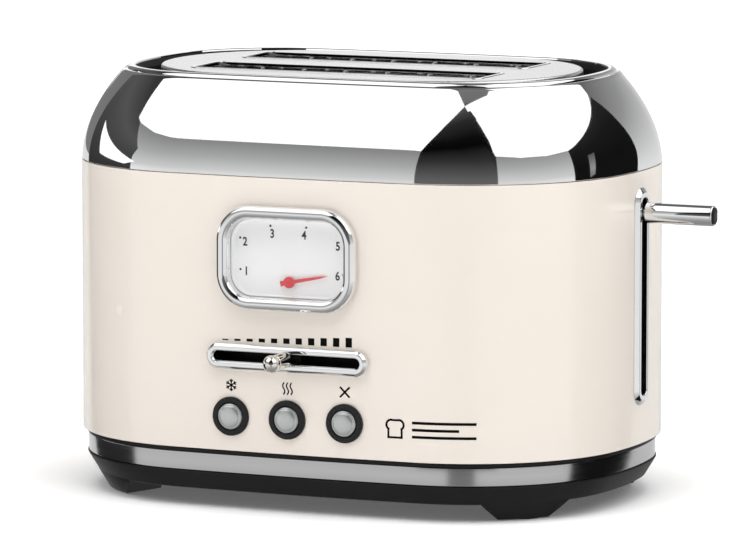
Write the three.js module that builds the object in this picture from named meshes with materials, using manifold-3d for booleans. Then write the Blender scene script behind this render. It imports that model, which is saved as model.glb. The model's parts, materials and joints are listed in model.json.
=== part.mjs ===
// A two-slot pop up toaster with a domed chrome top, a painted shell and a black base.
// Millimetres, +Z up, front towards -Y, operating lever on the +X end.
// The shapes are built about the body's vertical centre line, and the whole group is then shifted
// so that the origin is the centre of the bounding box's bottom face.

import * as THREE from "three";
import { mergeVertices } from "three/addons/utils/BufferGeometryUtils.js";
import Module from "manifold-3d";

const wasm = await Module();
wasm.setup();

// ---------------------------------------------------------------- driving dimensions

const GAP = 0.3; // clearance between pieces that touch
const SHEET = 1.2; // painted and chromed sheet

// Plan outline of the body: two long shallow bows, two end bows and four corner arcs.
const BODY_LENGTH = 276;
const BODY_DEPTH = 192.7;
const FRONT_BOW_R = 1172;
const END_BOW_R = 190;
const CORNER_R = 79.2;
const END_FLAT = 16; // least half width left for the end bow

// Heights, from the surface up.
const PAD_THICKNESS = 1.2;
const FOOT_HEIGHT = 8.2;
const SKIRT_HEIGHT = 9.1;
const SKIRT_SLOPE = 0.595; // inward per millimetre down
const BAND_HEIGHT = 8.9;
const LIP_THICKNESS = 1.8;
const SHELL_HEIGHT = 129;
const DOME_HEIGHT = 45;

// Insets of the stacked pieces from the body outline.
const LIP_INSET = 1.9;
const BAND_INSET = 2.7;
const BAND_THICKNESS = 1.2;
const BASE_WALL = 2.5;
const DOME_CURVE = 0.01; // inset of the dome grows with the square of the height
const RIM_INSET = 24.5;
const RIM_OPENING_INSET = 27.6;

// Slotted top.
const SLOT_LENGTH = 146;
const SLOT_WIDTH = 31;
const SLOT_PITCH = 57;
const SLOT_CORNER_R = 3;
const SLOT_COLLAR = 6;
const TOP_PLATE_END_MARGIN = 7.4; // from the rim opening, at the ends
const TOP_PLATE_MARGIN = 1.3; // from the rim opening, along the front and back
const TOP_PLATE_END_R = 75;
const DECK_DROP = 14.8;

// Toasting chamber.
const CHAMBER_MARGIN = 10.5; // from the slot's end to the end plate
const GUIDE_SPAN = 29.2; // between the two wire guides of a slot
const GUIDE_WIRE = 2;
const GUIDE_WIRES = 7;
const HEATER_OFFSET = 18.5; // from the slot's centre to the outer boards
const HEATER_THICKNESS = 1;
const WINDING_TURNS = 5;
const WINDING_WIRE = 0.8;
const BAFFLE_OFFSET = 25;
const CHAMBER_FLOOR = 62;

// Carriage and lever.
const LEVER_HEIGHT = 138.3;
const LEVER_TRAVEL = 80;
const LEVER_R = 4.9;
const LEVER_NECK_R = 3.1;
const LEVER_TIP_BEVEL = 0.8;
const LEVER_REACH = 36.8; // beyond the end of the body
const LEVER_SLOT_WIDTH = 7.3;
const LEVER_TRIM_WIDTH = 16.8;
const LEVER_TRIM_HEIGHT = 102.7;
const LEVER_TOP_CLEARANCE = 2; // from the raised lever to the end of its slot
const LEVER_TRIM_REACH = 2.1;
const LEVER_TRIM_EDGE = 0.4; // height of the trim's outer edge
const LEVER_TRIM_CREST = 0.8; // width of its crest beside the slot
const GUIDE_ROD_R = 3;
const LIFT_HEIGHT = 10;
const LIFT_FINGER = 16;

// Browning gauge.
const GAUGE_Z = 120.2;
const BEZEL_WIDTH = 70.7;
const BEZEL_HEIGHT = 49;
const BEZEL_CORNER_R = 17;
const BEZEL_TUBE = 6.2;
const BEZEL_REACH = 4.7;
const DIAL_DEPTH = 3;
const HUB_DROP = 11.1;
const HUB_R = 2.7;
const NEEDLE_LENGTH = 20.3;
const NEEDLE_TAIL = 4.5;
const NEEDLE_ANGLE = 11;

// Browning slider.
const SLIDER_Z = 73.4;
const SLIDER_END = 10; // from the pin's limit to the end of the frame
const SLIDER_TRIM_HEIGHT = 12;
const SLIDER_SLOT_HEIGHT = 4;
const SLIDER_TRAVEL = 31; // to each side
const KNOB_REACH = 21.7;
const KNOB_R = 4.2;

// Push buttons.
const BUTTON_Z = 45;
const BUTTON_PITCH = 29;
const BUTTON_COUNT = 3;
const BUTTON_RING_R = 9.2;
const BUTTON_CAP_R = 6.05;
const BUTTON_CAP_REACH = 3;
const BUTTON_TRAVEL = 2.5;

// Crumb tray and cord inlet.
const TRAY_MARGIN = 8.5; // to the end plates
const TRAY_WALL_HEIGHT = 6.5;
const TRAY_GRIP_HEIGHT = 10;
const GLAND_Z = 45;
const GLAND_R = 10;
const GLAND_BORE_R = 4;

// ---------------------------------------------------------------- levels worked out from them

const halfLength = BODY_LENGTH / 2;
const halfDepth = BODY_DEPTH / 2;
const ledgeZ = FOOT_HEIGHT + SKIRT_HEIGHT;
const bandTopZ = ledgeZ + BAND_HEIGHT;
const lipZ = bandTopZ + GAP;
const shellZ = lipZ + LIP_THICKNESS + GAP;
const seamZ = shellZ + SHELL_HEIGHT;
const capZ = seamZ + GAP;
const rimZ = seamZ + DOME_HEIGHT;
const topPlateZ = rimZ - 0.3;
const deckZ = rimZ - DECK_DROP;
const floorZ = shellZ + 0.5;
const floorTopZ = floorZ + SHEET;
const chamberTopZ = deckZ - SHEET - GAP;
const chamberHalf = SLOT_LENGTH / 2 + CHAMBER_MARGIN;
const guidePitch = SLOT_LENGTH / GUIDE_WIRES;
const slotCentres = { front: -SLOT_PITCH / 2, back: SLOT_PITCH / 2 };
const wallX = halfLength - SHEET;

// ---------------------------------------------------------------- materials

const FINISHES = {
  cream: { color: 0xf0e8e0, roughness: 0.25, metalness: 0 },
  chrome: { color: 0xe6e8ea, roughness: 0.05, metalness: 1 },
  steel: { color: 0xb4b6b8, roughness: 0.35, metalness: 1 },
  black: { color: 0x17181a, roughness: 0.5, metalness: 0 },
  rubber: { color: 0x101011, roughness: 0.9, metalness: 0 },
  mica: { color: 0xb9a98a, roughness: 0.6, metalness: 0 },
  heater: { color: 0x6e655c, roughness: 0.5, metalness: 0.8 },
  dial: { color: 0xd9dada, roughness: 0.6, metalness: 0 },
  red: { color: 0xc22020, roughness: 0.4, metalness: 0 },
  board: { color: 0x2f5a3a, roughness: 0.6, metalness: 0 },
  copper: { color: 0xa8602c, roughness: 0.4, metalness: 0.9 },
};

const GLASS = { color: 0xffffff, roughness: 0.02, metalness: 0, transparent: true, opacity: 0.15 };

// ---------------------------------------------------------------- solids

/** Total of the signed tetrahedra under an indexed mesh: negative when its faces point inward. */
function signedVolume(points, triangles) {
  let volume = 0;
  for (const [a, b, c] of triangles) {
    volume += points[a].dot(new THREE.Vector3().crossVectors(points[b], points[c]));
  }
  return volume;
}

/** A solid from shared points and triangles, turned outward if need be. */
function solidOfTriangles(points, triangles) {
  const inward = signedVolume(points, triangles) < 0;
  const faces = inward ? triangles.map(([a, b, c]) => [a, c, b]) : triangles;
  const vertProperties = new Float32Array(points.flatMap((p) => [p.x, p.y, p.z]));
  const triVerts = new Uint32Array(faces.flat());
  return new wasm.Manifold(new wasm.Mesh({ numProp: 3, vertProperties, triVerts }));
}

/** A solid from a three.js geometry. */
function solidOf(geometry) {
  geometry.deleteAttribute("normal");
  geometry.deleteAttribute("uv");
  const merged = mergeVertices(geometry, 1e-4);
  const position = merged.getAttribute("position");
  const points = [];
  for (let i = 0; i < position.count; i += 1) {
    points.push(new THREE.Vector3().fromBufferAttribute(position, i));
  }
  const index = merged.getIndex().array;
  const triangles = [];
  for (let i = 0; i < index.length; i += 3) {
    const face = [index[i], index[i + 1], index[i + 2]];
    if (new Set(face).size === 3) {
      triangles.push(face);
    }
  }
  return solidOfTriangles(points, triangles);
}

/** A three.js geometry from a solid. */
function geometryOf(solid) {
  const mesh = solid.getMesh();
  const positions = new Float32Array(mesh.numVert * 3);
  for (let i = 0; i < mesh.numVert; i += 1) {
    for (let k = 0; k < 3; k += 1) {
      positions[i * 3 + k] = mesh.vertProperties[i * mesh.numProp + k];
    }
  }
  const geometry = new THREE.BufferGeometry();
  geometry.setAttribute("position", new THREE.BufferAttribute(positions, 3));
  geometry.setIndex(new THREE.BufferAttribute(new Uint32Array(mesh.triVerts), 1));
  geometry.computeVertexNormals();
  return geometry;
}

function joined(solids) {
  return solids.reduce((whole, solid) => whole.add(solid));
}

function box(x0, x1, y0, y1, z0, z1) {
  const geometry = new THREE.BoxGeometry(x1 - x0, y1 - y0, z1 - z0);
  geometry.translate((x0 + x1) / 2, (y0 + y1) / 2, (z0 + z1) / 2);
  return solidOf(geometry);
}

// A frame turns a shape drawn in (u, v), with w as its height, into the body's axes.
const FRAMES = {
  top: (u, v, w) => new THREE.Vector3(u, v, w),
  front: (u, v, w) => new THREE.Vector3(u, -w, v),
  end: (u, v, w) => new THREE.Vector3(w, u, v),
};

/** Points of an arc from one angle to another, both ends included. */
function arc(cx, cy, r, from, to, steps) {
  const points = [];
  for (let i = 0; i <= steps; i += 1) {
    const angle = from + ((to - from) * i) / steps;
    points.push([cx + r * Math.cos(angle), cy + r * Math.sin(angle)]);
  }
  return points;
}

/** Rounded rectangle about (cu, cv), drawn anticlockwise, as a function of its inset. */
function roundedRect(cu, cv, width, height, r, steps = 5) {
  return (inset) => {
    const du = width / 2 - r;
    const dv = height / 2 - r;
    const corners = [[1, 1], [-1, 1], [-1, -1], [1, -1]];
    return corners.flatMap(([su, sv], i) =>
      arc(cu + su * du, cv + sv * dv, r - inset, (i * Math.PI) / 2, ((i + 1) * Math.PI) / 2, steps));
  };
}

function circle(cu, cv, r, steps = 28) {
  return (inset) => arc(cu, cv, r - inset, 0, 2 * Math.PI * (1 - 1 / steps), steps - 1);
}

/**
 * Four-fold symmetric outline of two bows and a corner arc, as a function of its inset.
 * The corner arc's centre lies where it touches both bows.
 */
function bowedOutline(length, depth, frontR, endR, cornerR) {
  const front = new THREE.Vector2(0, depth / 2 - frontR);
  const end = new THREE.Vector2(length / 2 - endR, 0);
  const reachFront = frontR - cornerR;
  const reachEnd = endR - cornerR;
  const between = new THREE.Vector2().subVectors(end, front);
  const distance = between.length();
  const along = (reachFront ** 2 - reachEnd ** 2 + distance ** 2) / (2 * distance);
  const across = Math.sqrt(Math.max(reachFront ** 2 - along ** 2, 0));
  const unit = between.normalize();
  const corner = new THREE.Vector2(
    front.x + unit.x * along + unit.y * across,
    front.y + unit.y * along - unit.x * across);
  const endAngle = Math.atan2(corner.y - end.y, corner.x - end.x);
  const frontAngle = Math.atan2(corner.y - front.y, corner.x - front.x);
  return (inset) => {
    const quarter = [
      ...arc(end.x, end.y, endR - inset, 0, endAngle, 2),
      ...arc(corner.x, corner.y, cornerR - inset, endAngle, frontAngle, 7).slice(1),
      ...arc(front.x, front.y, frontR - inset, frontAngle, Math.PI / 2, 2).slice(1),
    ];
    const mirrored = quarter.slice(0, -1).reverse().map(([x, y]) => [-x, y]);
    const upper = [...quarter, ...mirrored];
    const lower = upper.slice(1, -1).reverse().map(([x, y]) => [x, -y]);
    return [...upper, ...lower];
  };
}

/** Points and side triangles of an outline swept through a profile of [inset, height] pairs. */
function sweep(outline, profile, frame, closed) {
  const rows = profile.map(([inset, w]) => outline(inset).map(([u, v]) => frame(u, v, w)));
  const n = rows[0].length;
  const last = closed ? rows.length : rows.length - 1;
  const triangles = [];
  for (let j = 0; j < last; j += 1) {
    const next = (j + 1) % rows.length;
    for (let i = 0; i < n; i += 1) {
      const k = (i + 1) % n;
      triangles.push([j * n + i, j * n + k, next * n + k]);
      triangles.push([j * n + i, next * n + k, next * n + i]);
    }
  }
  return { points: rows.flat(), triangles, n, rows: rows.length };
}

/** A three.js geometry from points and triangles. */
function indexedGeometry(points, triangles) {
  const geometry = new THREE.BufferGeometry().setFromPoints(points);
  geometry.setIndex(triangles.flat());
  return geometry;
}

/** A closed ring: the outline swept through a closed profile. */
function ring(outline, profile, frame = FRAMES.top) {
  const { points, triangles } = sweep(outline, profile, frame, true);
  return solidOf(indexedGeometry(points, triangles));
}

/** A solid stack: the outline swept through an open profile, with flat ends. */
function stack(outline, profile, frame = FRAMES.top) {
  const { points, triangles, n, rows } = sweep(outline, profile, frame, false);
  const top = (rows - 1) * n;
  for (let i = 1; i < n - 1; i += 1) {
    triangles.push([0, i + 1, i]);
    triangles.push([top, top + i, top + i + 1]);
  }
  return solidOf(indexedGeometry(points, triangles));
}

function prism(outline, w0, w1, frame = FRAMES.top) {
  return stack(outline, [[0, w0], [0, w1]], frame);
}

/** A turned piece: profile of [radius, height] pairs that starts and ends on the axis. */
function turned(profile, segments = 16) {
  const points = profile.map(([r, h]) => new THREE.Vector2(r, h));
  return new THREE.LatheGeometry(points, segments);
}

/** A square wire through a list of points, each step along one axis. */
function wirePath(points, width) {
  const pieces = points.slice(1).map((to, i) => {
    const span = new THREE.Box3().setFromPoints([points[i], to]).expandByScalar(width / 2);
    return box(span.min.x, span.max.x, span.min.y, span.max.y, span.min.z, span.max.z);
  });
  return joined(pieces);
}

// ---------------------------------------------------------------- the group and shared shapes

const toaster = new THREE.Group();

function addPart(name, solid, finish) {
  const mesh = new THREE.Mesh(geometryOf(solid), new THREE.MeshStandardMaterial(finish));
  mesh.name = name;
  toaster.add(mesh);
}

const cornerR = Math.min(CORNER_R, halfDepth - END_FLAT);
const bodyOutline = bowedOutline(BODY_LENGTH, BODY_DEPTH, FRONT_BOW_R, END_BOW_R, cornerR);

/** Distance from the centre to the body's front surface at a given place along its length. */
function faceReach(x) {
  return halfDepth - FRONT_BOW_R + Math.sqrt(FRONT_BOW_R ** 2 - x ** 2);
}

/** The body's outer form, grown by a clearance, for shaping the backs of what sits on it. */
const bodyForm = prism(() => bodyOutline(-GAP), 0, rimZ);

const gaugeOutline = roundedRect(0, GAUGE_Z, BEZEL_WIDTH, BEZEL_HEIGHT, BEZEL_CORNER_R);
const sliderTrimLength = 2 * (SLIDER_TRAVEL + SLIDER_END);
const sliderEndR = SLIDER_TRIM_HEIGHT / 2;
const sliderOutline = roundedRect(0, SLIDER_Z, sliderTrimLength, SLIDER_TRIM_HEIGHT, sliderEndR);
const sliderSlotInset = (SLIDER_TRIM_HEIGHT - SLIDER_SLOT_HEIGHT) / 2;
const leverSlotInset = (LEVER_TRIM_WIDTH - LEVER_SLOT_WIDTH) / 2;
const leverTrimTopZ = LEVER_HEIGHT + LEVER_R + LEVER_TOP_CLEARANCE + leverSlotInset;
const leverTrimMiddleZ = leverTrimTopZ - LEVER_TRIM_HEIGHT / 2;
const leverEndR = LEVER_TRIM_WIDTH / 2 - 1;
const leverOutline = roundedRect(0, leverTrimMiddleZ, LEVER_TRIM_WIDTH, LEVER_TRIM_HEIGHT, leverEndR);
const buttonXs = Array.from({ length: BUTTON_COUNT },
  (_, i) => (i - (BUTTON_COUNT - 1) / 2) * BUTTON_PITCH);

const trayHalf = chamberHalf - TRAY_MARGIN;
const trayZ = floorTopZ + GAP;
const trayMouthTopZ = trayZ + TRAY_WALL_HEIGHT + 1;

// ---------------------------------------------------------------- outside of the body

const HOUSING_WALL = 1.5;
const gaugeWellInset = BEZEL_TUBE;
const gaugeHoleInset = gaugeWellInset - HOUSING_WALL - 2 * GAP;
const sliderHoleInset = sliderSlotInset - 1;
const leverHoleInset = leverSlotInset - 1;
const BUTTON_SLEEVE_R = BUTTON_CAP_R + 1.2;
const GLAND_SLEEVE_R = GLAND_BORE_R + 2.7;

function makeShell() {
  const wall = ring(bodyOutline, [[0, shellZ], [0, seamZ], [SHEET, seamZ], [SHEET, shellZ]]);
  const inner = halfDepth - 6;
  const outer = halfDepth + 6;
  const holes = [
    prism(() => gaugeOutline(gaugeHoleInset), inner, outer, FRAMES.front),
    prism(() => sliderOutline(sliderHoleInset), inner, outer, FRAMES.front),
    prism(() => leverOutline(leverHoleInset), wallX - 4, halfLength + 4, FRAMES.end),
    prism(circle(0, GLAND_Z, GLAND_SLEEVE_R + GAP), -halfLength - 4, -wallX + 4, FRAMES.end),
    box(-trayHalf - 1, trayHalf + 1, halfDepth - 12, outer, floorTopZ - 0.6, trayMouthTopZ),
    ...buttonXs.map((x) => prism(circle(x, BUTTON_Z, BUTTON_SLEEVE_R + GAP), inner, outer, FRAMES.front)),
  ];
  return wall.subtract(joined(holes));
}

/** Inset of the dome's outer surface at a height. */
function domeInset(z) {
  return DOME_CURVE * (z - seamZ + 2) ** 2;
}

function makeCap() {
  const bendZ = rimZ - 2.2;
  const steps = 6;
  const outside = [];
  for (let i = 0; i <= steps; i += 1) {
    const z = capZ + ((bendZ - capZ) * i) / steps;
    outside.push([domeInset(z), z]);
  }
  const rolled = [
    [RIM_INSET - 2, rimZ - 0.8],
    [RIM_INSET, rimZ],
    [RIM_INSET + 2, rimZ - 0.8],
    [RIM_OPENING_INSET, rimZ - 2.6],
    [RIM_OPENING_INSET, deckZ + GAP],
    [RIM_OPENING_INSET - SHEET, deckZ + GAP],
    [RIM_OPENING_INSET - SHEET, rimZ - 3],
    [RIM_INSET, rimZ - 1.6],
  ];
  const inside = outside
    .filter((_, i) => i % 2 === 1)
    .reverse()
    .map(([inset, z]) => [inset + SHEET * 1.3, z - SHEET]);
  const skirt = [
    [SHEET + GAP + 1, capZ - 0.2],
    [SHEET + GAP + 1, capZ - 6],
    [SHEET + GAP, capZ - 6],
    [SHEET + GAP, capZ],
  ];
  return ring(bodyOutline, [...outside, ...rolled, ...inside, ...skirt]);
}

const topPlateDepth = BODY_DEPTH - 2 * (RIM_OPENING_INSET + TOP_PLATE_MARGIN);
const topPlateLength = BODY_LENGTH - 2 * (RIM_OPENING_INSET + TOP_PLATE_END_MARGIN);
const topPlateEndR = Math.min(TOP_PLATE_END_R, 0.55 * topPlateDepth + 1);
const topPlateOutline = bowedOutline(topPlateLength, topPlateDepth,
  FRONT_BOW_R - RIM_OPENING_INSET, topPlateEndR, topPlateEndR * 0.85);

function slotOutline(centreY) {
  return roundedRect(0, centreY, SLOT_LENGTH, SLOT_WIDTH, SLOT_CORNER_R, 3);
}

function makeTopPlate() {
  const skirtZ = deckZ + GAP;
  const sheet = prism(topPlateOutline, topPlateZ - SHEET, topPlateZ);
  const skirt = ring(topPlateOutline,
    [[0, skirtZ], [0, topPlateZ - 0.5], [SHEET, topPlateZ - 0.5], [SHEET, skirtZ]]);
  const slots = Object.values(slotCentres).map(slotOutline);
  const collars = slots.map((slot) => prism(() => slot(-SHEET), topPlateZ - SLOT_COLLAR, topPlateZ + 0.4));
  const throats = slots.map((slot) => prism(slot, topPlateZ - SLOT_COLLAR - 1, topPlateZ + 1));
  return joined([sheet, skirt, ...collars]).subtract(joined(throats));
}

function makeDeck() {
  const sheet = prism(() => bodyOutline(RIM_INSET - 2), deckZ - SHEET, deckZ);
  const throats = Object.values(slotCentres).map((y) =>
    box(-SLOT_LENGTH / 2 - 2, SLOT_LENGTH / 2 + 2, y - SLOT_WIDTH / 2 - 1, y + SLOT_WIDTH / 2 + 1,
      deckZ - SHEET - 1, deckZ + 1));
  return sheet.subtract(joined(throats));
}

// ---------------------------------------------------------------- base

const skirtInset = LIP_INSET + SKIRT_SLOPE * SKIRT_HEIGHT;
const bandBackInset = BAND_INSET + BAND_THICKNESS + GAP;
const BOSS_R = 5;
const footZ = 0.5; // the pads stand this far below the feet
const FOOT_TOP_WIDTH = 46;
const FOOT_BOTTOM_WIDTH = 27;
const FOOT_DEPTH = 26;
const PAD_R = 8;
const corners = [[1, -1], [1, 1], [-1, 1], [-1, -1]];

/** Point on the body outline where the corner arc faces a diagonal, at an inset. */
function cornerPoint(inset) {
  const diagonal = ([x, y]) => x + y;
  return bodyOutline(inset).reduce((best, point) => (diagonal(point) > diagonal(best) ? point : best));
}

function padCentre() {
  return cornerPoint(skirtInset + SKIRT_SLOPE * FOOT_HEIGHT + PAD_R);
}

/** A block across one corner, wider at its top, cut by the skirt's slope and recessed for its pad. */
function makeFoot([sx, sy]) {
  const [cx, cy] = cornerPoint(skirtInset);
  const top = FOOT_HEIGHT + 1;
  const side = [
    [-FOOT_TOP_WIDTH / 2, top],
    [FOOT_TOP_WIDTH / 2, top],
    [FOOT_BOTTOM_WIDTH / 2, footZ],
    [-FOOT_BOTTOM_WIDTH / 2, footZ],
  ];
  const across = new THREE.Vector3(sx, -sy, 0).normalize();
  const out = new THREE.Vector3(sx, sy, 0).normalize();
  const centre = new THREE.Vector3(sx * cx, sy * cy, 0);
  const frame = (u, v, w) => centre.clone().addScaledVector(across, u).addScaledVector(out, w).setZ(v);
  const block = prism(() => side, -FOOT_DEPTH, 12, frame);
  const reach = skirtInset + SKIRT_SLOPE * (FOOT_HEIGHT - footZ);
  const envelope = stack(bodyOutline, [[reach, footZ], [skirtInset, FOOT_HEIGHT], [skirtInset, top]]);
  const [px, py] = padCentre();
  const recess = prism(circle(sx * px, sy * py, PAD_R + GAP, 16), 0, PAD_THICKNESS + GAP);
  return block.intersect(envelope).subtract(recess);
}

function makeBase() {
  const outer = stack(bodyOutline, [
    [skirtInset, FOOT_HEIGHT],
    [LIP_INSET, ledgeZ],
    [bandBackInset, ledgeZ],
    [bandBackInset, lipZ],
    [LIP_INSET, lipZ],
    [LIP_INSET, lipZ + LIP_THICKNESS],
  ]);
  const cavityInset = bandBackInset + BASE_WALL;
  const cavity = stack(bodyOutline, [
    [skirtInset + BASE_WALL, FOOT_HEIGHT + BASE_WALL],
    [cavityInset, ledgeZ],
    [cavityInset, shellZ + 1],
  ]);
  const bossX = chamberHalf + 14;
  const bossY = SLOT_PITCH / 2 + 12;
  const bosses = corners.map(([sx, sy]) =>
    prism(circle(sx * bossX, sy * bossY, BOSS_R, 12), FOOT_HEIGHT + 1, floorZ - GAP));
  return joined([outer.subtract(cavity), ...bosses, ...corners.map(makeFoot)]);
}

function addBase() {
  const bandBottomZ = ledgeZ + GAP;
  addPart("base", makeBase(), FINISHES.black);
  addPart("base_band", ring(bodyOutline, [
    [BAND_INSET, bandBottomZ],
    [BAND_INSET, bandTopZ],
    [BAND_INSET + BAND_THICKNESS, bandTopZ],
    [BAND_INSET + BAND_THICKNESS, bandBottomZ],
  ]), FINISHES.steel);
  const [px, py] = padCentre();
  corners.forEach(([sx, sy], i) => {
    const pad = prism(circle(sx * px, sy * py, PAD_R, 16), 0, PAD_THICKNESS);
    addPart(`foot_pad_${i + 1}`, pad, FINISHES.rubber);
  });
  addPart("chassis_floor", prism(() => bodyOutline(LIP_INSET + 3), floorZ, floorTopZ), FINISHES.steel);
}

// ---------------------------------------------------------------- toasting chamber

const PLATE_THICKNESS = 1;
const liftTopZ = LEVER_HEIGHT + 6.7;
const liftSlotWidth = 5;
const plateDepth = SLOT_PITCH / 2 + BAFFLE_OFFSET + 2;

function makeEndPlate(side) {
  const x0 = side * chamberHalf + (side > 0 ? 0 : -PLATE_THICKNESS);
  const sheet = box(x0, x0 + PLATE_THICKNESS, -plateDepth, plateDepth, floorTopZ + GAP, chamberTopZ);
  const slots = Object.values(slotCentres).map((y) =>
    box(x0 - 1, x0 + PLATE_THICKNESS + 1, y - liftSlotWidth / 2, y + liftSlotWidth / 2,
      liftTopZ - LEVER_TRAVEL - LIFT_HEIGHT - 3, liftTopZ + 3));
  return sheet.subtract(joined(slots));
}

const heaterHalf = SLOT_LENGTH / 2 - 1;
const heaterYs = {
  front: slotCentres.front - HEATER_OFFSET,
  middle: 0,
  back: slotCentres.back + HEATER_OFFSET,
};

/** Ribbon wound round a board in level turns, which climb along the board's left edge. */
function makeWinding(y) {
  const face = HEATER_THICKNESS / 2 + GAP + WINDING_WIRE / 2;
  const edge = heaterHalf + GAP + WINDING_WIRE / 2;
  const bottom = CHAMBER_FLOOR + 8;
  const pitch = (chamberTopZ - 12 - bottom) / WINDING_TURNS;
  const points = [];
  for (let i = 0; i < WINDING_TURNS; i += 1) {
    const z = bottom + i * pitch;
    points.push(new THREE.Vector3(-edge, y - face, z));
    points.push(new THREE.Vector3(edge, y - face, z));
    points.push(new THREE.Vector3(edge, y + face, z));
    points.push(new THREE.Vector3(-edge, y + face, z));
    points.push(new THREE.Vector3(-edge, y + face, z + pitch));
  }
  return wirePath(points, WINDING_WIRE);
}

function addChamber() {
  addPart("end_plate_left", makeEndPlate(-1), FINISHES.steel);
  addPart("end_plate_right", makeEndPlate(1), FINISHES.steel);
  for (const [place, y] of Object.entries(heaterYs)) {
    const half = HEATER_THICKNESS / 2;
    const board = box(-heaterHalf, heaterHalf, y - half, y + half, CHAMBER_FLOOR, chamberTopZ - 2);
    addPart(`heater_board_${place}`, board, FINISHES.mica);
    addPart(`heater_winding_${place}`, makeWinding(y), FINISHES.heater);
  }
  for (const [place, centre] of Object.entries(slotCentres)) {
    const y = centre + Math.sign(centre) * BAFFLE_OFFSET;
    const half = PLATE_THICKNESS / 2;
    const reach = chamberHalf - GAP;
    const sheet = box(-reach, reach, y - half, y + half, trayMouthTopZ + 1, chamberTopZ);
    addPart(`baffle_${place}`, sheet, FINISHES.steel);
  }
}

/** Wire cage along one side of a slot, which leans in on its bottom rod to hold the bread. */
function makeGuide(y) {
  const bottom = CHAMBER_FLOOR + 4;
  const top = chamberTopZ - 3;
  const half = ((GUIDE_WIRES - 1) / 2) * guidePitch;
  const reach = chamberHalf - 2 * GAP;
  const w = GUIDE_WIRE / 2;
  const rods = [
    box(-reach, reach, y - w, y + w, bottom - w, bottom + w),
    box(-half - 4, half + 4, y - w, y + w, top - w, top + w),
  ];
  for (let i = 0; i < GUIDE_WIRES; i += 1) {
    const x = -half + i * guidePitch;
    rods.push(box(x - w, x + w, y - w, y + w, bottom, top));
  }
  return joined(rods);
}

function addGuides() {
  for (const [place, centre] of Object.entries(slotCentres)) {
    const outwards = (Math.sign(centre) * GUIDE_SPAN) / 2;
    addPart(`bread_guide_${place}_outer`, makeGuide(centre + outwards), FINISHES.steel);
    addPart(`bread_guide_${place}_inner`, makeGuide(centre - outwards), FINISHES.steel);
  }
}

// ---------------------------------------------------------------- lever and carriage

const CARRIAGE_SHEET = 1.5;
const carriageX = chamberHalf + 20;
const carriageHalf = SLOT_PITCH / 2 + 8;
const guideRodX = carriageX + 12;
const blockEndX = guideRodX + 9;
const armatureZ = LEVER_HEIGHT - 11;
const magnetTopZ = armatureZ - LEVER_TRAVEL - 0.5;
const MAGNET_Y = -26;
const SPRING_Y = 22;
const springBottomZ = LEVER_HEIGHT + 13;

function makeLeverRod() {
  const collarX = halfLength + 3.2;
  const tipX = halfLength + LEVER_REACH;
  const geometry = turned([
    [0, blockEndX + GAP],
    [LEVER_NECK_R, blockEndX + GAP],
    [LEVER_NECK_R, collarX],
    [LEVER_R, collarX],
    [LEVER_R, tipX - LEVER_TIP_BEVEL],
    [LEVER_R - LEVER_TIP_BEVEL, tipX],
    [0, tipX],
  ], 20);
  geometry.rotateZ(-Math.PI / 2);
  geometry.translate(0, 0, LEVER_HEIGHT);
  return solidOf(geometry);
}

function makeBlock() {
  const back = carriageX + CARRIAGE_SHEET + GAP;
  const block = box(back, blockEndX, -9, 9, LEVER_HEIGHT - 10, LEVER_HEIGHT + 10);
  return block.subtract(prism(circle(guideRodX, 0, GUIDE_ROD_R + GAP, 16), 0, rimZ));
}

function makeCarriagePlate() {
  const top = springBottomZ - GAP;
  const plate = box(carriageX, carriageX + CARRIAGE_SHEET, -carriageHalf, carriageHalf, armatureZ - 1, top);
  const ear = box(carriageX, guideRodX + 5, SPRING_Y - 5, SPRING_Y + 5, top - CARRIAGE_SHEET, top);
  return plate.add(ear);
}

/** Long strip that carries the bread on cross fingers, which lie between the guides' wires. */
function makeLift(y) {
  const strip = box(-chamberHalf - 4, carriageX - GAP, y - 1, y + 1, liftTopZ - LIFT_HEIGHT, liftTopZ - 0.5);
  const fingers = [];
  for (let i = 0; i + 1 < GUIDE_WIRES; i += 1) {
    const x = (i - (GUIDE_WIRES - 2) / 2) * guidePitch;
    fingers.push(box(x - 2, x + 2, y - LIFT_FINGER / 2, y + LIFT_FINGER / 2, liftTopZ - 1.5, liftTopZ));
  }
  return joined([strip, ...fingers]);
}

/** Points of an upright coil. */
class Coil extends THREE.Curve {
  constructor(x, y, z0, z1, r, turns) {
    super();
    Object.assign(this, { x, y, z0, z1, r, turns });
  }

  getPoint(t, target = new THREE.Vector3()) {
    const angle = 2 * Math.PI * this.turns * t;
    const z = this.z0 + (this.z1 - this.z0) * t;
    return target.set(this.x + this.r * Math.cos(angle), this.y + this.r * Math.sin(angle), z);
  }
}

function makeSpring() {
  const turns = 6;
  const wireR = 0.6;
  const pentagon = arc(0, 0, wireR, 0, (8 / 5) * Math.PI, 4);
  const section = new THREE.Shape(pentagon.map(([x, y]) => new THREE.Vector2(x, y)));
  const path = new Coil(guideRodX, SPRING_Y, springBottomZ + 1, chamberTopZ - 1, 3.6, turns);
  const geometry = new THREE.ExtrudeGeometry(section, {
    steps: turns * 9,
    extrudePath: path,
    bevelEnabled: false,
  });
  return solidOf(geometry);
}

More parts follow.
